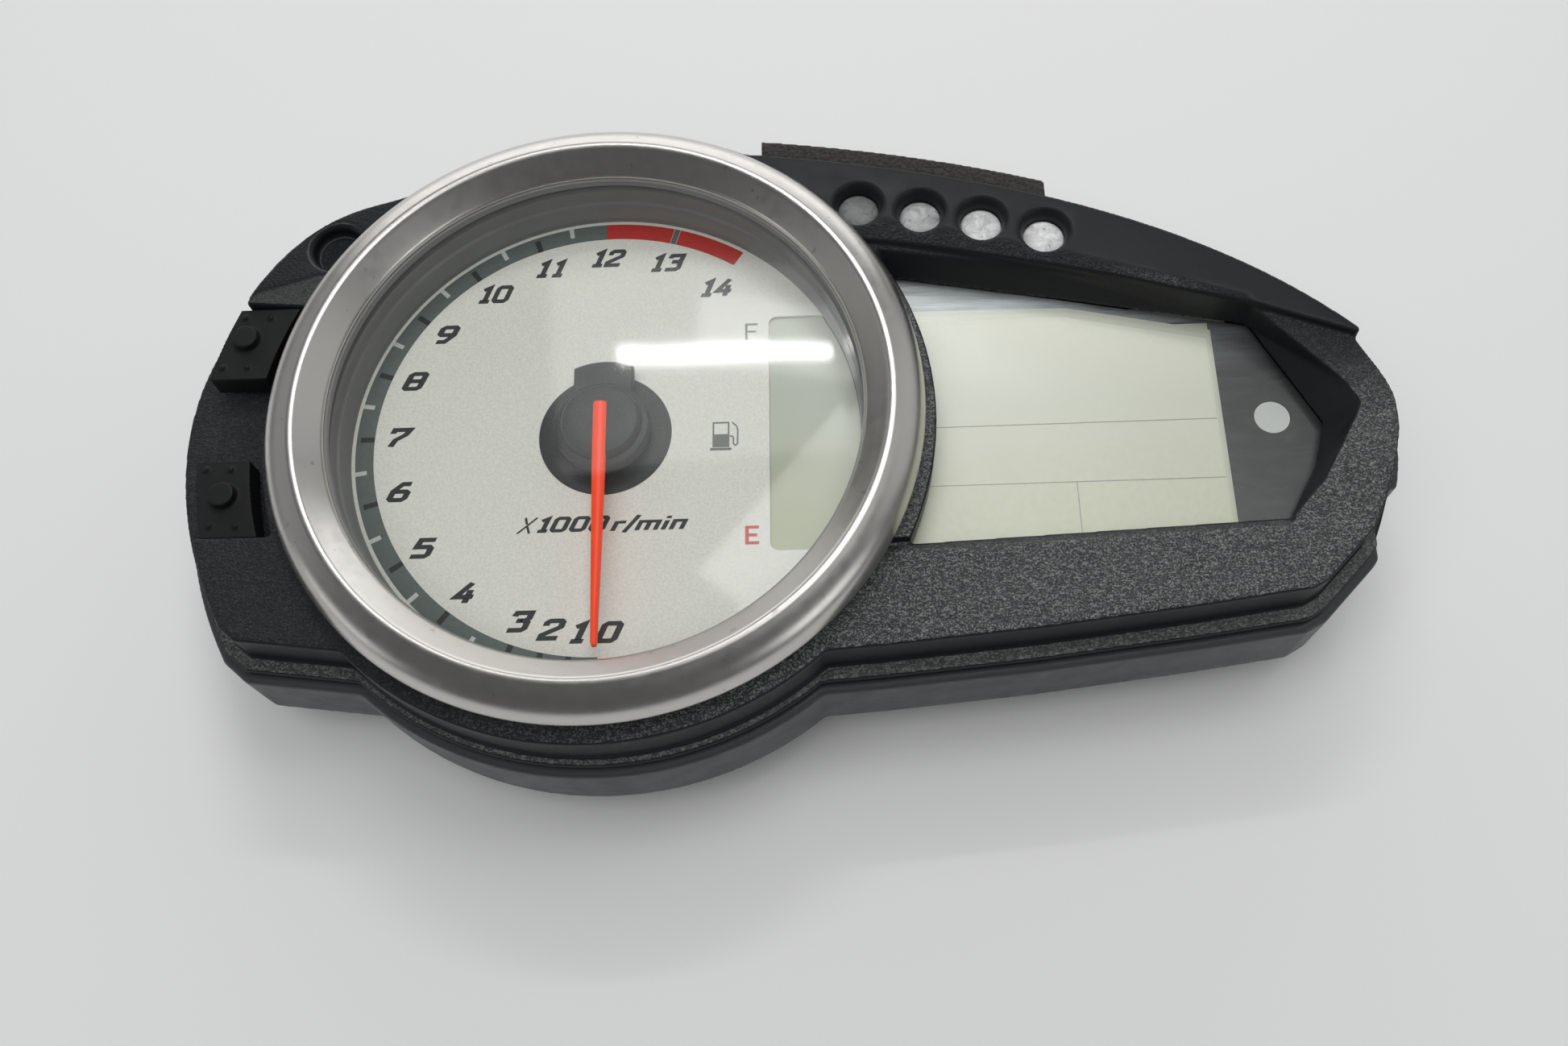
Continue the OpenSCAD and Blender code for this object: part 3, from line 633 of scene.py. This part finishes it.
INK_DARK = print_ink("ink_dark", (0.035, 0.037, 0.037))
INK_GREY = print_ink("ink_grey", (0.13, 0.15, 0.142))
INK_RED = print_ink("ink_red", (0.55, 0.035, 0.03))
INK_WHITE = print_ink("ink_white", (0.62, 0.62, 0.6))
INK_LINE = print_ink("ink_line", (0.36, 0.38, 0.35))
WARNING_LIGHT = plastic("warning_light", (0.65, 0.67, 0.65), 0.4, 0.1).material
WINDOW_CLEAR = clear_lens("window_clear", 0.2, 0.27)
# CAD nodes whose look isn't their slot's.
OWN_MATERIAL = {"warning_lens": WARNING_LIGHT, "window_lens": WINDOW_CLEAR}


# ---------------------------------------------------------------- housing

# The visor's inner edge, and the lower edge of the window's recess, in millimetres.
BROW = curve_points((40, 33.8), (64, 30.2), (88, 23.6), (110.5, 16.5), 16)
SILL = [(42, -25.3), (50, -24.8), (112.8, -22.0)]


def brow_cutter():
    """Wedge that slopes the visor's inner margin down to the recess."""
    band_start, band_taper, drop_start, drop_taper = 4.6, 3.2, 1.7, 0.9
    reach, clear = 3, 4
    sections = []
    for i, (x, y) in enumerate(BROW):
        share = i / (len(BROW) - 1)
        band = band_start - band_taper * share
        drop = drop_start - drop_taper * share
        ahead = BROW[min(i + 1, len(BROW) - 1)]
        behind = BROW[max(i - 1, 0)]
        along = (Vector(ahead) - Vector(behind)).normalized()
        out = Vector((-along.y, along.x))
        rim = Vector((x, y)) + out * band
        lip = Vector((x, y)) - out * reach
        slope = drop * (band + reach) / band
        sections.append([
            (rim.x, rim.y, VISOR_Z + 0.02),
            (lip.x, lip.y, VISOR_Z - slope),
            (lip.x, lip.y, VISOR_Z + clear),
            (rim.x, rim.y, VISOR_Z + clear),
        ])
    return loft("brow_cutter", sections)


def sill_cutter():
    """Chamfer along the window side of the lower panel."""
    width, depth, past, clear = 2.0, 1.2, 0.6, 0.9
    sections = []
    for x, y in SILL:
        sections.append([
            (x, y + past, FACE_Z - depth * 1.3),
            (x, y - width, FACE_Z + 0.02),
            (x, y - width, FACE_Z + clear),
            (x, y + past, FACE_Z + clear),
        ])
    return loft("sill_cutter", sections)


def corner_cutter():
    """Slopes the left panel down to the upper button, as a three-cornered facet."""
    start, along, fall = Vector((-64.75, 26.1)), Vector((0.954, 0.299)), 0.5
    corners = [Vector((-68, 25.08)), Vector((-68, 23.9)), Vector((-46, 23.9)), Vector((-46, 31.98))]
    below, above = [], []
    for corner in corners:
        away = (corner.x - start.x) * along.y - (corner.y - start.y) * along.x
        below.append((corner.x, corner.y, FACE_Z + 0.02 - fall * max(0, away)))
        above.append((corner.x, corner.y, FACE_Z + 2))
    return loft("corner_cutter", [below, above])


def dimple_cutter():
    """Round recess with a sloped wall in the left panel."""
    centre, floor_r, mouth_r = (-49, 35.8), 4.4, 5.5
    foot, mouth, clear = FACE_Z - 0.9, FACE_Z + 0.02, FACE_Z + 2
    profile = [(0, foot), (floor_r, foot), (mouth_r, mouth), (mouth_r, clear), (0, clear)]
    return revolve("dimple_cutter", profile, centre, 64)


def front_cover():
    """The CAD cover with its sloped margins cut and every edge rounded."""
    obj = cad_copy("front_cover", "cover_shell")
    for cutter in (corner_cutter, dimple_cutter, brow_cutter, sill_cutter):
        cut_away(obj, cutter())
    voxel = 0.36
    soften(obj, voxel, steps=5, keep=0.3)
    place(obj, HOUSING, "cover_black", "front_cover")


def rear_case():
    """The CAD case with every edge rounded."""
    obj = cad_copy("rear_case", "case_shell")
    voxel = 0.46
    soften(obj, voxel, steps=4, keep=0.29)
    place(obj, HOUSING, "case_black", "rear_case")


def trim_ring():
    """Turned band: a nearly straight inner slope, a narrow crest and a long outer slope that tapers under."""
    inner, seat, skirt = VIEW_R, 40.1, FACE_Z + 0.15
    profile = [(inner + 0.9, seat), (inner + 0.9, 41.2), (inner + 0.1, 41.8)]
    inner_slope = [(inner + 0.15, 42.2), (inner + 1.4, 43.4), (inner + 2.6, 44.4), (inner + 3.5, 45.2)]
    crest = [(inner + 3.7, 45.36), (inner + 4.1, CREST_Z), (inner + 4.8, CREST_Z + 0.02)]
    crest += [(inner + 5.2, CREST_Z - 0.12)]
    outer_slope = [(inner + 5.5, CREST_Z - 0.21), (inner + 7.9, CREST_Z - 0.9)]
    outer_slope += [(RING_R - 0.35, 43.6), (RING_R, 40.6)]
    profile += curve_points(*inner_slope, 10) + curve_points(*crest, 12) + curve_points(*outer_slope, 26)
    profile += [(RING_R - 0.5, 39.4), (RING_R - 1.0, skirt), (RING_R - 2.0, skirt)]
    profile += [(RING_R - 2.0, 39.3), (inner + 5, 43.2), (inner + 2.2, 41.2), (inner + 2.2, seat)]
    ring = revolve("ring_band", profile, segments=320, crease=50)
    without_sparkle(place(ring, HOUSING, "ring_satin", "trim_ring"))


def dial_lens():
    """Domed clear lens and the grey collar at its edge."""
    top = [(0, 41.4)] + curve_points((12, 41.33), (24, 41.15), (35, 40.7), (44.8, 39.95), 14)
    under = curve_points((44.8, 38.05), (35, 38.8), (24, 39.3), (12, 39.5), 14) + [(0, 39.6)]
    rim = [(49.6, 39.85), (49.75, 39.7), (49.75, 38.1), (49.6, 38.0)]
    dome = revolve("lens_dome", top + rim + under, segments=192)
    without_sparkle(place(dome, HOUSING, "clear_lens", "dial_lens"))
    collar = [(44.75, 40.02), (44.8, 41.3), (45.7, 41.3), (45.7, 40.02)]
    place(revolve("lens_collar", collar, segments=192), HOUSING, "bezel_grey")


def dial_wall():
    """Stepped wall that leads from the lens down to the dial."""
    wall = [(44.45, DIAL_Z + 0.02), (44.5, DIAL_Z + 1.6), (44.85, DIAL_Z + 2.1), (44.95, DIAL_Z + 4.6)]
    wall += [(45.35, DIAL_Z + 5.1), (45.5, 37.5), (49.9, 37.5), (49.9, 36.5)]
    wall += [(46.4, 36.5), (46.4, DIAL_Z + 0.02)]
    place(revolve("funnel_wall", wall, segments=192), HOUSING, "bezel_grey", "dial_bezel")


# ---------------------------------------------------------------- dial print

# Thickness of the print, radii of the scale's band, and the angles of its marks and numerals from +X.
PRINT = 0.04
BAND_IN, BAND_OUT = 40.6, 43.8
MARKS = [-89.5, -96.2, -102.8] + [-110.1 - 17.56 * k for k in range(12)]
NUMERAL_ANGLES = [-86.5, -94.7, -101.6, -110.4, -127.6, -145.6, -164.1, -180.9, -198.8, -215.6, -233.9,
                  -251.6, -268.5, -286, -303.4]

# Centre lines of the characters in a box about 7 wide and 10 high: (closed, points).
STROKES = {
    "0": [
        (True, [(1.8, 0.8), (5.2, 0.8), (6.1, 1.8), (6.1, 8.2), (5.2, 9.2), (1.8, 9.2), (0.9, 8.2),
                (0.9, 1.8)]),
    ],
    "1": [
        (False, [(1.2, 7.6), (3.6, 9.2), (3.6, 1.5)]),
        (False, [(1.4, 0.75), (5.6, 0.75)]),
    ],
    "2": [
        (False, [(0.9, 6.9), (0.9, 8.4), (1.7, 9.2), (5.3, 9.2), (6.1, 8.4), (6.1, 6.2), (0.9, 2.4),
                 (0.9, 0.8), (6.6, 0.8)]),
    ],
    "3": [
        (False, [(0.9, 7.6), (1.3, 9.2), (6.1, 9.2), (6.1, 6.4), (4.9, 5.4), (6.1, 4.4), (6.1, 1.7),
                 (5.2, 0.8), (0.6, 0.8)]),
        (False, [(2.2, 5.4), (4.2, 5.4)]),
    ],
    "4": [
        (False, [(4.4, 9.9), (0.9, 3.0), (6.8, 3.0)]),
        (False, [(4.9, 6.4), (4.9, 3.8)]),
        (False, [(4.9, 2.2), (4.9, 0)]),
    ],
    "5": [
        (False, [(6.4, 9.2), (1.4, 9.2), (1.0, 5.6), (5.2, 5.6), (6.1, 4.7), (6.1, 1.7), (5.2, 0.8),
                 (0.5, 0.8)]),
    ],
    "6": [
        (False, [(5.9, 9.2), (3.0, 9.2), (0.9, 5.6), (0.9, 1.7), (1.8, 0.8), (5.2, 0.8), (6.1, 1.7),
                 (6.1, 4.4), (5.2, 5.2), (2.0, 5.2)]),
    ],
    "7": [(False, [(0.8, 7.2), (0.8, 9.2), (6.3, 9.2), (5.6, 6.4), (2.9, 3.6), (2.4, 0)])],
    "8": [
        (True, [(1.7, 0.8), (5.3, 0.8), (6.1, 1.6), (6.1, 8.4), (5.3, 9.2), (1.7, 9.2), (0.9, 8.4),
                (0.9, 1.6)]),
        (False, [(1.75, 5.1), (5.25, 5.1)]),
    ],
    "9": [
        (False, [(1.1, 0.8), (4.0, 0.8), (6.1, 4.4), (6.1, 8.3), (5.2, 9.2), (1.8, 9.2), (0.9, 8.3),
                 (0.9, 5.6), (1.8, 4.8), (5.0, 4.8)]),
    ],
    "x": [
        (False, [(0.4, 0), (5.8, 9)]),
        (False, [(0.9, 9), (2.7, 5.2)]),
        (False, [(3.2, 4.0), (5.3, 0)]),
    ],
    "r": [(False, [(1.0, 0), (1.0, 6.6)]), (False, [(1.9, 5.8), (4.6, 5.8)])],
    "/": [(False, [(0.6, -1.2), (3.2, 10.4)])],
    "m": [(False, [(0.9, 0), (0.9, 5.9), (8.1, 5.9), (8.1, 0)]), (False, [(4.5, 5.1), (4.5, 0)])],
    "i": [(False, [(1.0, 0), (1.0, 6.2)]), (False, [(1.0, 7.6), (1.0, 9.2)])],
    "n": [(False, [(0.9, 0), (0.9, 5.9), (4.9, 5.9), (4.9, 0)])],
    "F": [(False, [(1.0, 0), (1.0, 9.2), (6.2, 9.2)]), (False, [(1.6, 4.8), (5.4, 4.8)])],
    "E": [(False, [(6.2, 9.2), (1.0, 9.2), (1.0, 0.8), (6.2, 0.8)]), (False, [(1.6, 5.0), (5.4, 5.0)])],
}
# Room that each character takes along the line, where it isn't the usual one.
USUAL_ADVANCE = 8.4
ADVANCE = {"1": 6.6, "x": 6.6, "r": 5.2, "/": 4.4, "m": 10.2, "i": 3.2, "n": 7.2}


def lettering(text, centre, height, weight=2.2, slant=0.3, stretch=1.4):
    """Quads of a line of characters centred on a point of the dial."""
    width = sum(ADVANCE.get(c, USUAL_ADVANCE) for c in text) - 1.2
    scale = height / 10
    quads, at = [], -width / 2
    for character in text:
        for closed, points in STROKES[character]:
            for quad in ribbon(points, weight, closed):
                quads.append([
                    (
                        centre[0] + (at + x + slant * (y - 5)) * scale * stretch,
                        centre[1] + (y - 5) * scale,
                    )
                    for x, y in quad
                ])
        at += ADVANCE.get(character, USUAL_ADVANCE)
    return quads


def print_piece(name, outlines, ink, z=None, slot="dial_silver"):
    """One layer of print as thin plates, on the dial unless a height is given."""
    obj = slab(name, outlines, (DIAL_Z if z is None else z) + PRINT, PRINT)
    return place(obj, HOUSING, slot, materials=[ink])


def scale_band():
    """The scale's band with its marks cut in, and the red zone at its end."""
    # Half widths of the marks and the gap beside the red zone's mark, in degrees.
    half_mark, mark, gap = 0.55, 0.68, 0.12
    # Whole values mark the inner part of the band, half values the outer part.
    reach = {"whole": (BAND_IN, BAND_IN + 2.5), "half": (BAND_IN + 1.2, BAND_OUT)}
    grey, dark, white, red = [], [], [], []
    band_start, red_start, band_end = MARKS[0], MARKS[12], MARKS[14]
    cuts = [(MARKS[value], mark, dark) for value in range(1, 12)]
    cuts += [((MARKS[value] + MARKS[value + 1]) / 2, half_mark, white) for value in range(3, 12)]
    cuts.sort(key=lambda cut: -cut[0])
    at = band_start
    for angle, half, kind in cuts:
        grey.append(sector(BAND_IN, BAND_OUT, at, angle + half))
        inner, outer = reach["whole" if kind is dark else "half"]
        kind.append(sector(inner, outer, angle + half, angle - half))
        if kind is dark:
            grey.append(sector(outer, BAND_OUT, angle + half, angle - half))
        else:
            grey.append(sector(BAND_IN, inner, angle + half, angle - half))
        at = angle - half
    grey.append(sector(BAND_IN, BAND_OUT, at, red_start))
    red.append(sector(BAND_IN, BAND_OUT, red_start, MARKS[13] + mark + gap))
    grey.append(sector(BAND_IN, BAND_OUT, MARKS[13] + mark, MARKS[13] - mark))
    red.append(sector(BAND_IN, BAND_OUT, MARKS[13] - mark - gap, band_end))
    print_piece("print_band", grey, INK_GREY)
    print_piece("print_ticks", dark, INK_DARK)
    print_piece("print_half_ticks", white, INK_WHITE)
    print_piece("print_red_zone", red, INK_RED)


def numerals():
    """The numbers 0 to 14 inside the band, the last one a little nearer the middle."""
    usual_r, last_r = 36.4, 35
    quads = []
    for value, angle in enumerate(NUMERAL_ANGLES):
        radius = last_r if value == 14 else usual_r
        centre = (radius * math.cos(math.radians(angle)), radius * math.sin(math.radians(angle)))
        quads += lettering(str(value), centre, 3.55, stretch=1.4 if value < 10 else 1.2)
    print_piece("print_numerals", quads, INK_DARK)


def dial_unit():
    """The scale's unit, in three words of their own sizes."""
    unit = lettering("x", (-12.7, -16.8), 3.2, 0.9, 0.3, 1.3)
    unit += lettering("1000", (-4.9, -16.9), 2.7, 2.2, 0.3, 1.45)
    unit += lettering("r/min", (8.4, -17.0), 2.7, 1.9, 0.3, 1.6)
    print_piece("print_unit", unit, INK_DARK)


def hub_disc():
    """Dark printed disc under the pointer's hub."""
    radius = 11.6
    print_piece("print_hub_disc", [arc_points((0, 0), radius, 0, 360, 96)[:-1]], INK_DARK)


def fuel_marks():
    """F and E beside the small display, and a pump between them."""
    print_piece("print_full", lettering("F", (25.6, 19.8), 3.4, 1.1, 0, 1.15), INK_GREY)
    print_piece("print_empty", lettering("E", (25.7, -19.8), 3.4, 1.6, 0, 1.15), INK_RED)
    x, y = 20.4, -0.9
    left, right, foot, roof = x - 1.55, x + 1.1, y - 2.3, y + 2.45
    pump = ribbon([(left, foot), (left, roof), (right, roof), (right, foot)], 0.28)
    pump.append([(x - 1.4, foot), (x + 0.95, foot), (x + 0.95, y + 0.2), (x - 1.4, y + 0.2)])
    pump.append([(x - 2.1, y - 2.9), (x + 1.6, y - 2.9), (x + 1.6, y - 2.42), (x - 2.1, y - 2.42)])
    hose = [(1.3, -0.2), (1.75, -0.2), (1.95, -0.5), (1.95, -1.7), (2.3, -2.0), (2.65, -1.7), (2.7, 0.9),
            (2.5, 1.7), (1.7, 2.5)]
    pump += ribbon([(x + right_by, y + up_by) for right_by, up_by in hose], 0.26)
    print_piece("print_pump", pump, INK_GREY)


def display_marks():
    """The main display's face, darker field by field towards its edge as painted shade, and the fine lines
    between its fields.
    """
    z = node_top("window_mask") + PRINT
    outer = [(48.5, -24.5), (106.1, -24.5), (106.3, 16.9), (81.5, 22.4), (48.5, 22.7)]
    inner = [(48.5, -24.5), (104.9, -24.5), (104.9, 14.3), (80.4, 19.6), (48.5, 19.2)]
    colour = BASE_COLOUR["lcd_pale"]
    # Painted shade: each field further out is a tone darker, as under the visor.
    for step, tone in enumerate((0.84, 0.91, 0.97, 1.0)):
        share = step / 3
        field = [[tuple(Vector(a).lerp(Vector(b), share)) for a, b in zip(outer, inner)]]
        look = liquid_crystal(f"lcd_field_{step}", scaled(colour, tone), 1.36, (0.84, 0.84, 0.72))
        panel = slab(f"display_field_{step}", field, z + step * PRINT, PRINT)
        place(panel, HOUSING, "lcd_pale", materials=[look])
    lines = [
        [(57.0, -0.9), (105.2, -0.7), (105.2, -0.55), (57.0, -0.75)],
        [(53.5, -12.0), (105.2, -11.8), (105.2, -11.65), (53.5, -11.85)],
        [(80.3, -22.5), (80.45, -22.5), (80.45, -11.95), (80.3, -11.95)],
    ]
    print_piece("display_lines", lines, INK_LINE, z + 3 * PRINT, "lcd_pale")


# ---------------------------------------------------------------- pointer, buttons and lights

def pointer_bar():
    """Tapered orange bar with a raised spine."""
    # (distance from the axis, half width, how far the spine rises over the shoulder)
    stations = [(-3.1, 1.05, 0.125), (-2.7, 1.15, 0.21), (8, 1.1, 0.21)]
    stations += [(30, 0.72, 0.18), (40.1, 0.5, 0.15), (40.6, 0.34, 0.09)]
    edge, shoulder = 1.0, 1.3
    turn = Matrix.Rotation(math.radians(ZERO_ANGLE), 4, "Z")
    low = node_bottom("needle")
    sections = []
    for along, half, rise in stations:
        inset, spine = half * 0.72, shoulder + rise
        points = [(-half, 0), (half, 0), (half, edge), (inset, shoulder)]
        points += [(0, spine), (-inset, shoulder), (-half, edge)]
        sections.append([tuple(turn @ Vector((along, across, low + z))) for across, z in points])
    place(loft("pointer_bar", sections), "pointer", "needle_orange", "needle")


def pointer_hub():
    """Black stepped hub with a tail opposite the bar."""
    z = node_bottom("needle_cap")
    profile = [(0.9, z), (8.1, z)] + rounded((8.35, z + 0.3), (7.9, z + 2.5))
    profile += [(7.0, z + 2.7)] + rounded((6.95, z + 2.9), (6.1, z + 4.5))
    profile += [(4.4, z + 4.62), (0.9, z + 4.5)]
    hub = revolve("hub_cap", profile, segments=128, crease=25)
    tail_half, tail_r, root = 5.2, 12.6, 4
    spread = math.degrees(math.asin(tail_half / tail_r))
    tail = arc_points((0, 0), tail_r, 90 - spread, 90 + spread, 16) + [(-tail_half, root), (tail_half, root)]
    sections = [
        [(x, y, z + 0.02) for x, y in tail],
        [(x, y, z + 1.7) for x, y in tail],
        [(x * 0.94, root + (y - root) * 0.95, z + 2.1) for x, y in tail],
    ]
    wing = loft("hub_tail", sections)
    wing.data.transform(Matrix.Rotation(math.radians(ZERO_ANGLE + 90), 4, "Z"))
    place(hub, "pointer", "cap_black", "needle_cap")
    place(wing, "pointer", "cap_black")


def buttons():
    """The two rubber-like pads with their nubs, each on the body that its button travels with."""
    for side in ("upper", "lower"):
        node = f"button_{side}"
        obj = cad_copy(node, f"pad_{side}")
        soften(obj, 0.2, steps=2, keep=0.6)
        place(obj, f"{side}_button", "button_black", node)


def centre_of(node):
    """The middle of a node seen from above, in millimetres."""
    low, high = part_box(node)
    return (low.x + high.x) / 2 / MM, (low.y + high.y) / 2 / MM


def indicator_lenses():
    """Domed heads on a foot flange, each frosted a tone lighter than the one before."""
    flange_r, head_r = 4.6, 3.68
    for i in range(1, 5):
        node = f"indicator_lens_{i}"
        foot, top = node_bottom(node), node_top(node)
        shoulder, crown = top - 0.7, top + 0.2
        profile = [(0, foot), (flange_r, foot), (flange_r, foot + 1.1)]
        profile += [(head_r, foot + 1.2), (head_r, shoulder)]
        profile += curve_points((head_r, shoulder), (3.5, top - 0.1), (2.2, crown), (0, crown), 10)[1:]
        pipe = revolve(f"light_pipe_{i}", profile, centre_of(node), 64)
        look = frosted(f"lens_frosted_{i}", 0.4 * i - 0.14)
        place(pipe, HOUSING, "lens_frosted", node, materials=[look])


def foam_strip():
    """Firm foam pad on the visor's outer edge, its edges rounded."""
    obj = cad_copy("foam_strip", "foam_edge")
    soften(obj, 0.4, steps=2, keep=0.8)
    place(obj, HOUSING, "foam_grey", "foam_strip")


def mounts():
    """Rubber isolators with rolled edges and a waist."""
    for side in ("left", "right", "top"):
        node = f"isolator_{side}"
        low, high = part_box(node)
        foot, top, outer = node_bottom(node), node_top(node), (high.x - low.x) / 2 / MM
        bore, lip = 4.02, foot + 0.1
        profile = [(bore, top), (bore, foot + 0.4), (4.3, foot), (7.6, foot), (7.8, foot + 0.35), (8.4, lip)]
        profile += [(outer - 0.2, lip), (outer, foot + 0.6), (outer - 0.35, foot + 1.75)]
        profile += [(outer, foot + 2.9), (outer - 0.4, top)]
        grommet = revolve(f"grommet_{side}", profile, centre_of(node), 96)
        place(grommet, HOUSING, "isolator_rubber", node)


def carried_over():
    """Gives every CAD node its own look or its slot's, those that are stood for later too."""
    for name, obj in NODES.items():
        material = OWN_MATERIAL.get(name) or slot_material(SLOT_OF[name])
        if obj.data.materials:
            for index in range(len(obj.data.materials)):
                obj.material_slots[index].material = material
        else:
            obj.data.materials.append(material)
    without_sparkle(NODES["window_lens"])


# ---------------------------------------------------------------- stage

def studio():
    """A plain pale floor, a dim surround and soft lights, two of which show only in mirror-like faces."""
    far = 3000
    corners = [(-far, -far, 0), (far, -far, 0), (far, far, 0), (-far, far, 0)]
    floor = new_object("floor", corners, [[0, 1, 2, 3]])
    look = Look("floor_pale", (0.86, 0.86, 0.86), 0.7)
    look.colour(look.mix(look.noise(3, 2), (0.85, 0.85, 0.85), (0.88, 0.88, 0.88)))
    floor.data.materials.append(look.material)

    world = bpy.data.worlds.new("studio")
    bpy.context.scene.world = world
    world.use_nodes = True
    world.node_tree.nodes["Background"].inputs["Color"].default_value = (0.96, 0.98, 1.0, 1)
    world.node_tree.nodes["Background"].inputs["Strength"].default_value = 0.11

    # (name, place, size, power, what it shows in), in metres and watts.
    everything, matt, mirrors = (True, True), (True, False), (False, True)
    middle = Vector((0.03, 0, 0.03))
    for name, at, size, power, (on_matt, in_mirrors) in (
        ("fill", (-0.15, -0.30, 1.25), (1.2, 1.0), 7.2, matt),
        ("ceiling", (0.26, 0.26, 1.12), (0.5, 0.36), 1.9, everything),
        ("glow", (0.0, 0.60, 1.0), (0.5, 0.32), 0.9, everything),
        ("glow_core", (0.105, 0.63, 0.98), (0.3, 0.12), 0.35, everything),
        ("box_right", (1.1, 0.5, 0.65), (1.0, 1.1), 1.5, everything),
        ("box_left", (-1.10, 0.45, 0.65), (1.0, 0.8), 0.6, everything),
        ("box_back", (-0.05, 1.35, 0.40), (1.9, 0.7), 6.5, everything),
        ("tube", (0.014, 0.274, 0.463), (0.165, 0.011), 0.2, everything),
        ("card_right", (0.92, -0.56, 0.55), (0.55, 0.5), 1.25, mirrors),
        ("card_left", (-1.12, -0.36, 0.28), (0.6, 0.35), 0.65, mirrors),
    ):
        light = bpy.data.lights.new(name, "AREA")
        light.shape = "RECTANGLE"
        light.size, light.size_y = size
        light.energy = power
        lamp = bpy.data.objects.new(name, light)
        lamp.location = at
        lamp.rotation_euler = (middle - Vector(at)).to_track_quat("-Z", "Y").to_euler()
        lamp.visible_diffuse = on_matt
        lamp.visible_glossy = in_mirrors
        bpy.context.scene.collection.objects.link(lamp)
    bpy.context.scene.view_settings.view_transform = "Standard"


def camera():
    """The photo's viewpoint: high over the cluster, a little in front of it, rolled a few degrees."""
    at, target = Vector((39.45, -110.22, 242.4)), Vector((31.22, -21.03, 37.0))
    roll, focal = -6.44, 31.73
    data = bpy.data.cameras.new("camera")
    data.lens = focal
    data.sensor_width = 36
    data.clip_start = 0.01
    obj = bpy.data.objects.new("camera", data)
    aim = (target - at).to_track_quat("-Z", "Y").to_matrix().to_4x4()
    obj.matrix_world = Matrix.Translation(at * MM) @ aim @ Matrix.Rotation(math.radians(roll), 4, "Z")
    bpy.context.scene.collection.objects.link(obj)
    bpy.context.scene.camera = obj


camera()
studio()
carried_over()
front_cover()
rear_case()
trim_ring()
dial_lens()
dial_wall()
scale_band()
numerals()
dial_unit()
hub_disc()
fuel_marks()
display_marks()
pointer_bar()
pointer_hub()
buttons()
indicator_lenses()
foam_strip()
mounts()
